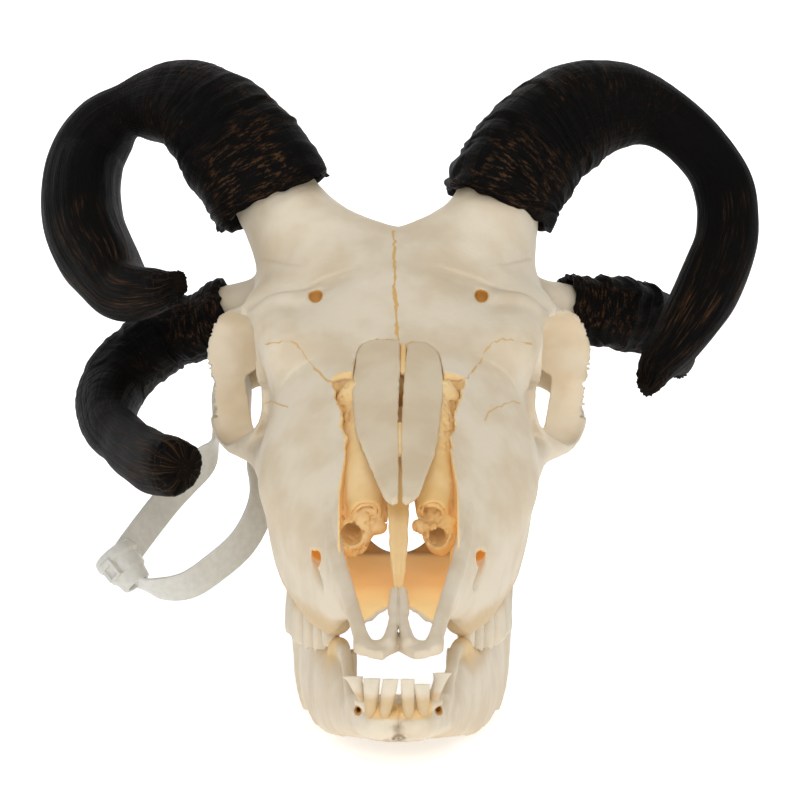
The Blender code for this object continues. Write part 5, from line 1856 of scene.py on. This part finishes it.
# Path, width in millimetres, unevenness of the width, sideways wander in pixels, depth of colour
SEAMS = ((SEAM_BROW_HIGH, 0.95, 1.6, 1.4, 1.1), (SEAM_BROW_LOW, 1.5, 0.45, 0.7, 1.25),
         (SEAM_NOSE_LEFT, 1.0, 0.9, 1.2, 0.7), (SEAM_NOSE_RIGHT, 1.0, 0.9, 1.2, 0.7),
         (SEAM_TEAR_LEFT, 0.9, 0.8, 0.9, 0.8), (SEAM_TEAR_RIGHT, 0.9, 0.8, 0.9, 0.8),
         (SEAM_CHEEK_LEFT, 0.7, 1.4, 1.0, 0.7), (SEAM_CHEEK_RIGHT, 0.7, 1.4, 1.0, 0.7))
SEAM_STEP = 0.6
SEAM_LIFT = 0.05
SEAM_JUMP = 3.0
SEAM_SEED = 200
# Places across a strip, and how much of its colour each one has
SEAM_ROW = (-0.5, -0.15, 0.15, 0.5)
SEAM_FADE = (0.0, 1.0, 1.0, 0.0)


def bone_at(column, row):
    """The point of the skull's bone seen at a place in the picture, and its normal."""
    aim = AHEAD + np.array(((column - MIDDLE_COLUMN)/FOCAL_PIXELS, 0, 0))
    aim = aim + UPWARD*(IMAGE/2 - row)/FOCAL_PIXELS
    hit, normal, _, _ = skull_rays.ray_cast(Vector(EYE), Vector(aim).normalized())
    return hit, normal


def seam_row(middle, across, thick):
    """A row of points across a seam, laid on the bone and lifted a hair off it."""
    row = []
    for step in SEAM_ROW:
        spot, lift, _, _ = skull_rays.find_nearest(middle + across*step*thick)
        lift = lift if lift.dot(Vector(EYE) - spot) > 0 else -lift
        row.append(tuple(spot + lift*SEAM_LIFT))
    return row


def seam_strip(path, width, uneven, wander, seed):
    """Points and faces of one strip, and how deep its colour is at each point."""
    corners = np.array(path, dtype=float)
    gaps = np.linalg.norm(np.diff(corners, axis=0), axis=1)
    reach = np.concatenate([[0.0], np.cumsum(gaps)])
    spots = np.arange(0, reach[-1], SEAM_STEP)
    column, row = (np.interp(spots, reach, corners[:, k]) for k in (0, 1))
    probe = np.stack([spots, 0*spots, 0*spots], axis=-1)
    column = column + wander*lumps(probe, 3.0, seed)
    row = row + wander*lumps(probe, 3.0, seed + 1)
    thick = np.clip(0.8 + uneven*lumps(probe, 4.0, seed + 2), 0.0, 1.5)*width
    points, faces, before, joined = [], [], None, False
    for u, v, wide in zip(column, row, thick):
        hit, normal = bone_at(u, v)
        if hit is None or (before is not None and (hit - before).length > SEAM_JUMP):
            before = None
            continue
        if before is not None:
            start = len(points)
            points += seam_row(hit, normal.cross(hit - before).normalized(), float(wide))
            if start and joined:
                faces += [(start - 4 + k, start - 3 + k, start + 1 + k, start + k) for k in range(3)]
        joined = before is not None
        before = hit
    return np.array(points), np.array(faces), np.tile(SEAM_FADE, len(points)//len(SEAM_ROW))


def seam_mesh():
    """All the seams as one mesh."""
    points, faces, depth, count = [], [], [], 0
    for number, (path, width, uneven, wander, tone) in enumerate(SEAMS):
        p, f, d = seam_strip(path, width, uneven, wander, SEAM_SEED + 7*number)
        points.append(p)
        faces.append(f + count)
        depth.append(d*tone)
        count += len(p)
    mesh = mesh_from("seams", np.concatenate(points), np.concatenate(faces))
    mark_points(mesh, "warm", np.concatenate(depth)*0.9)
    mark_points(mesh, "stain", np.concatenate(depth)*0.75)
    return mesh


place_piece("seam_lines", seam_mesh(), seam_look, ())


# %% [markdown]
# The four horns curl each in its own way, so none is a mirrored copy. Each has its own curve
# and its own seed, which gives it other wrinkles, while the function that sweeps it is shared.

# %% Horn pieces
HORNS = (("horn_upper_left", UPPER_HORN_LEFT, 1, 101), ("horn_upper_right", UPPER_HORN_RIGHT, -1, 111),
         ("horn_lower_left", LOWER_HORN_LEFT, 1, 121), ("horn_lower_right", LOWER_HORN_RIGHT, -1, 131))

for name, keys, side, seed in HORNS:
    place_piece(name.replace("horn", "sheath"), horn_mesh(keys, side, seed), horn_look, (name,))


# %% [markdown]
# Strap and lock are two parts on a real tag as well, so they stay two pieces. The strap comes
# straight from its sweep, while the lock is grown on a fine grid, which keeps its catch crisp.

# %% Tag pieces
place_piece("ring_strap", strap_mesh(), tag_look, ("tag_strap",))
place_piece("ring_lock", grown(lock_form, "lock"), tag_look, ("tag_lock",))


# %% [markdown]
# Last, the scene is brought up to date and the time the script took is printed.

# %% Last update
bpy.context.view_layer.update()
print("script time", round(time.time() - START, 1), "s")
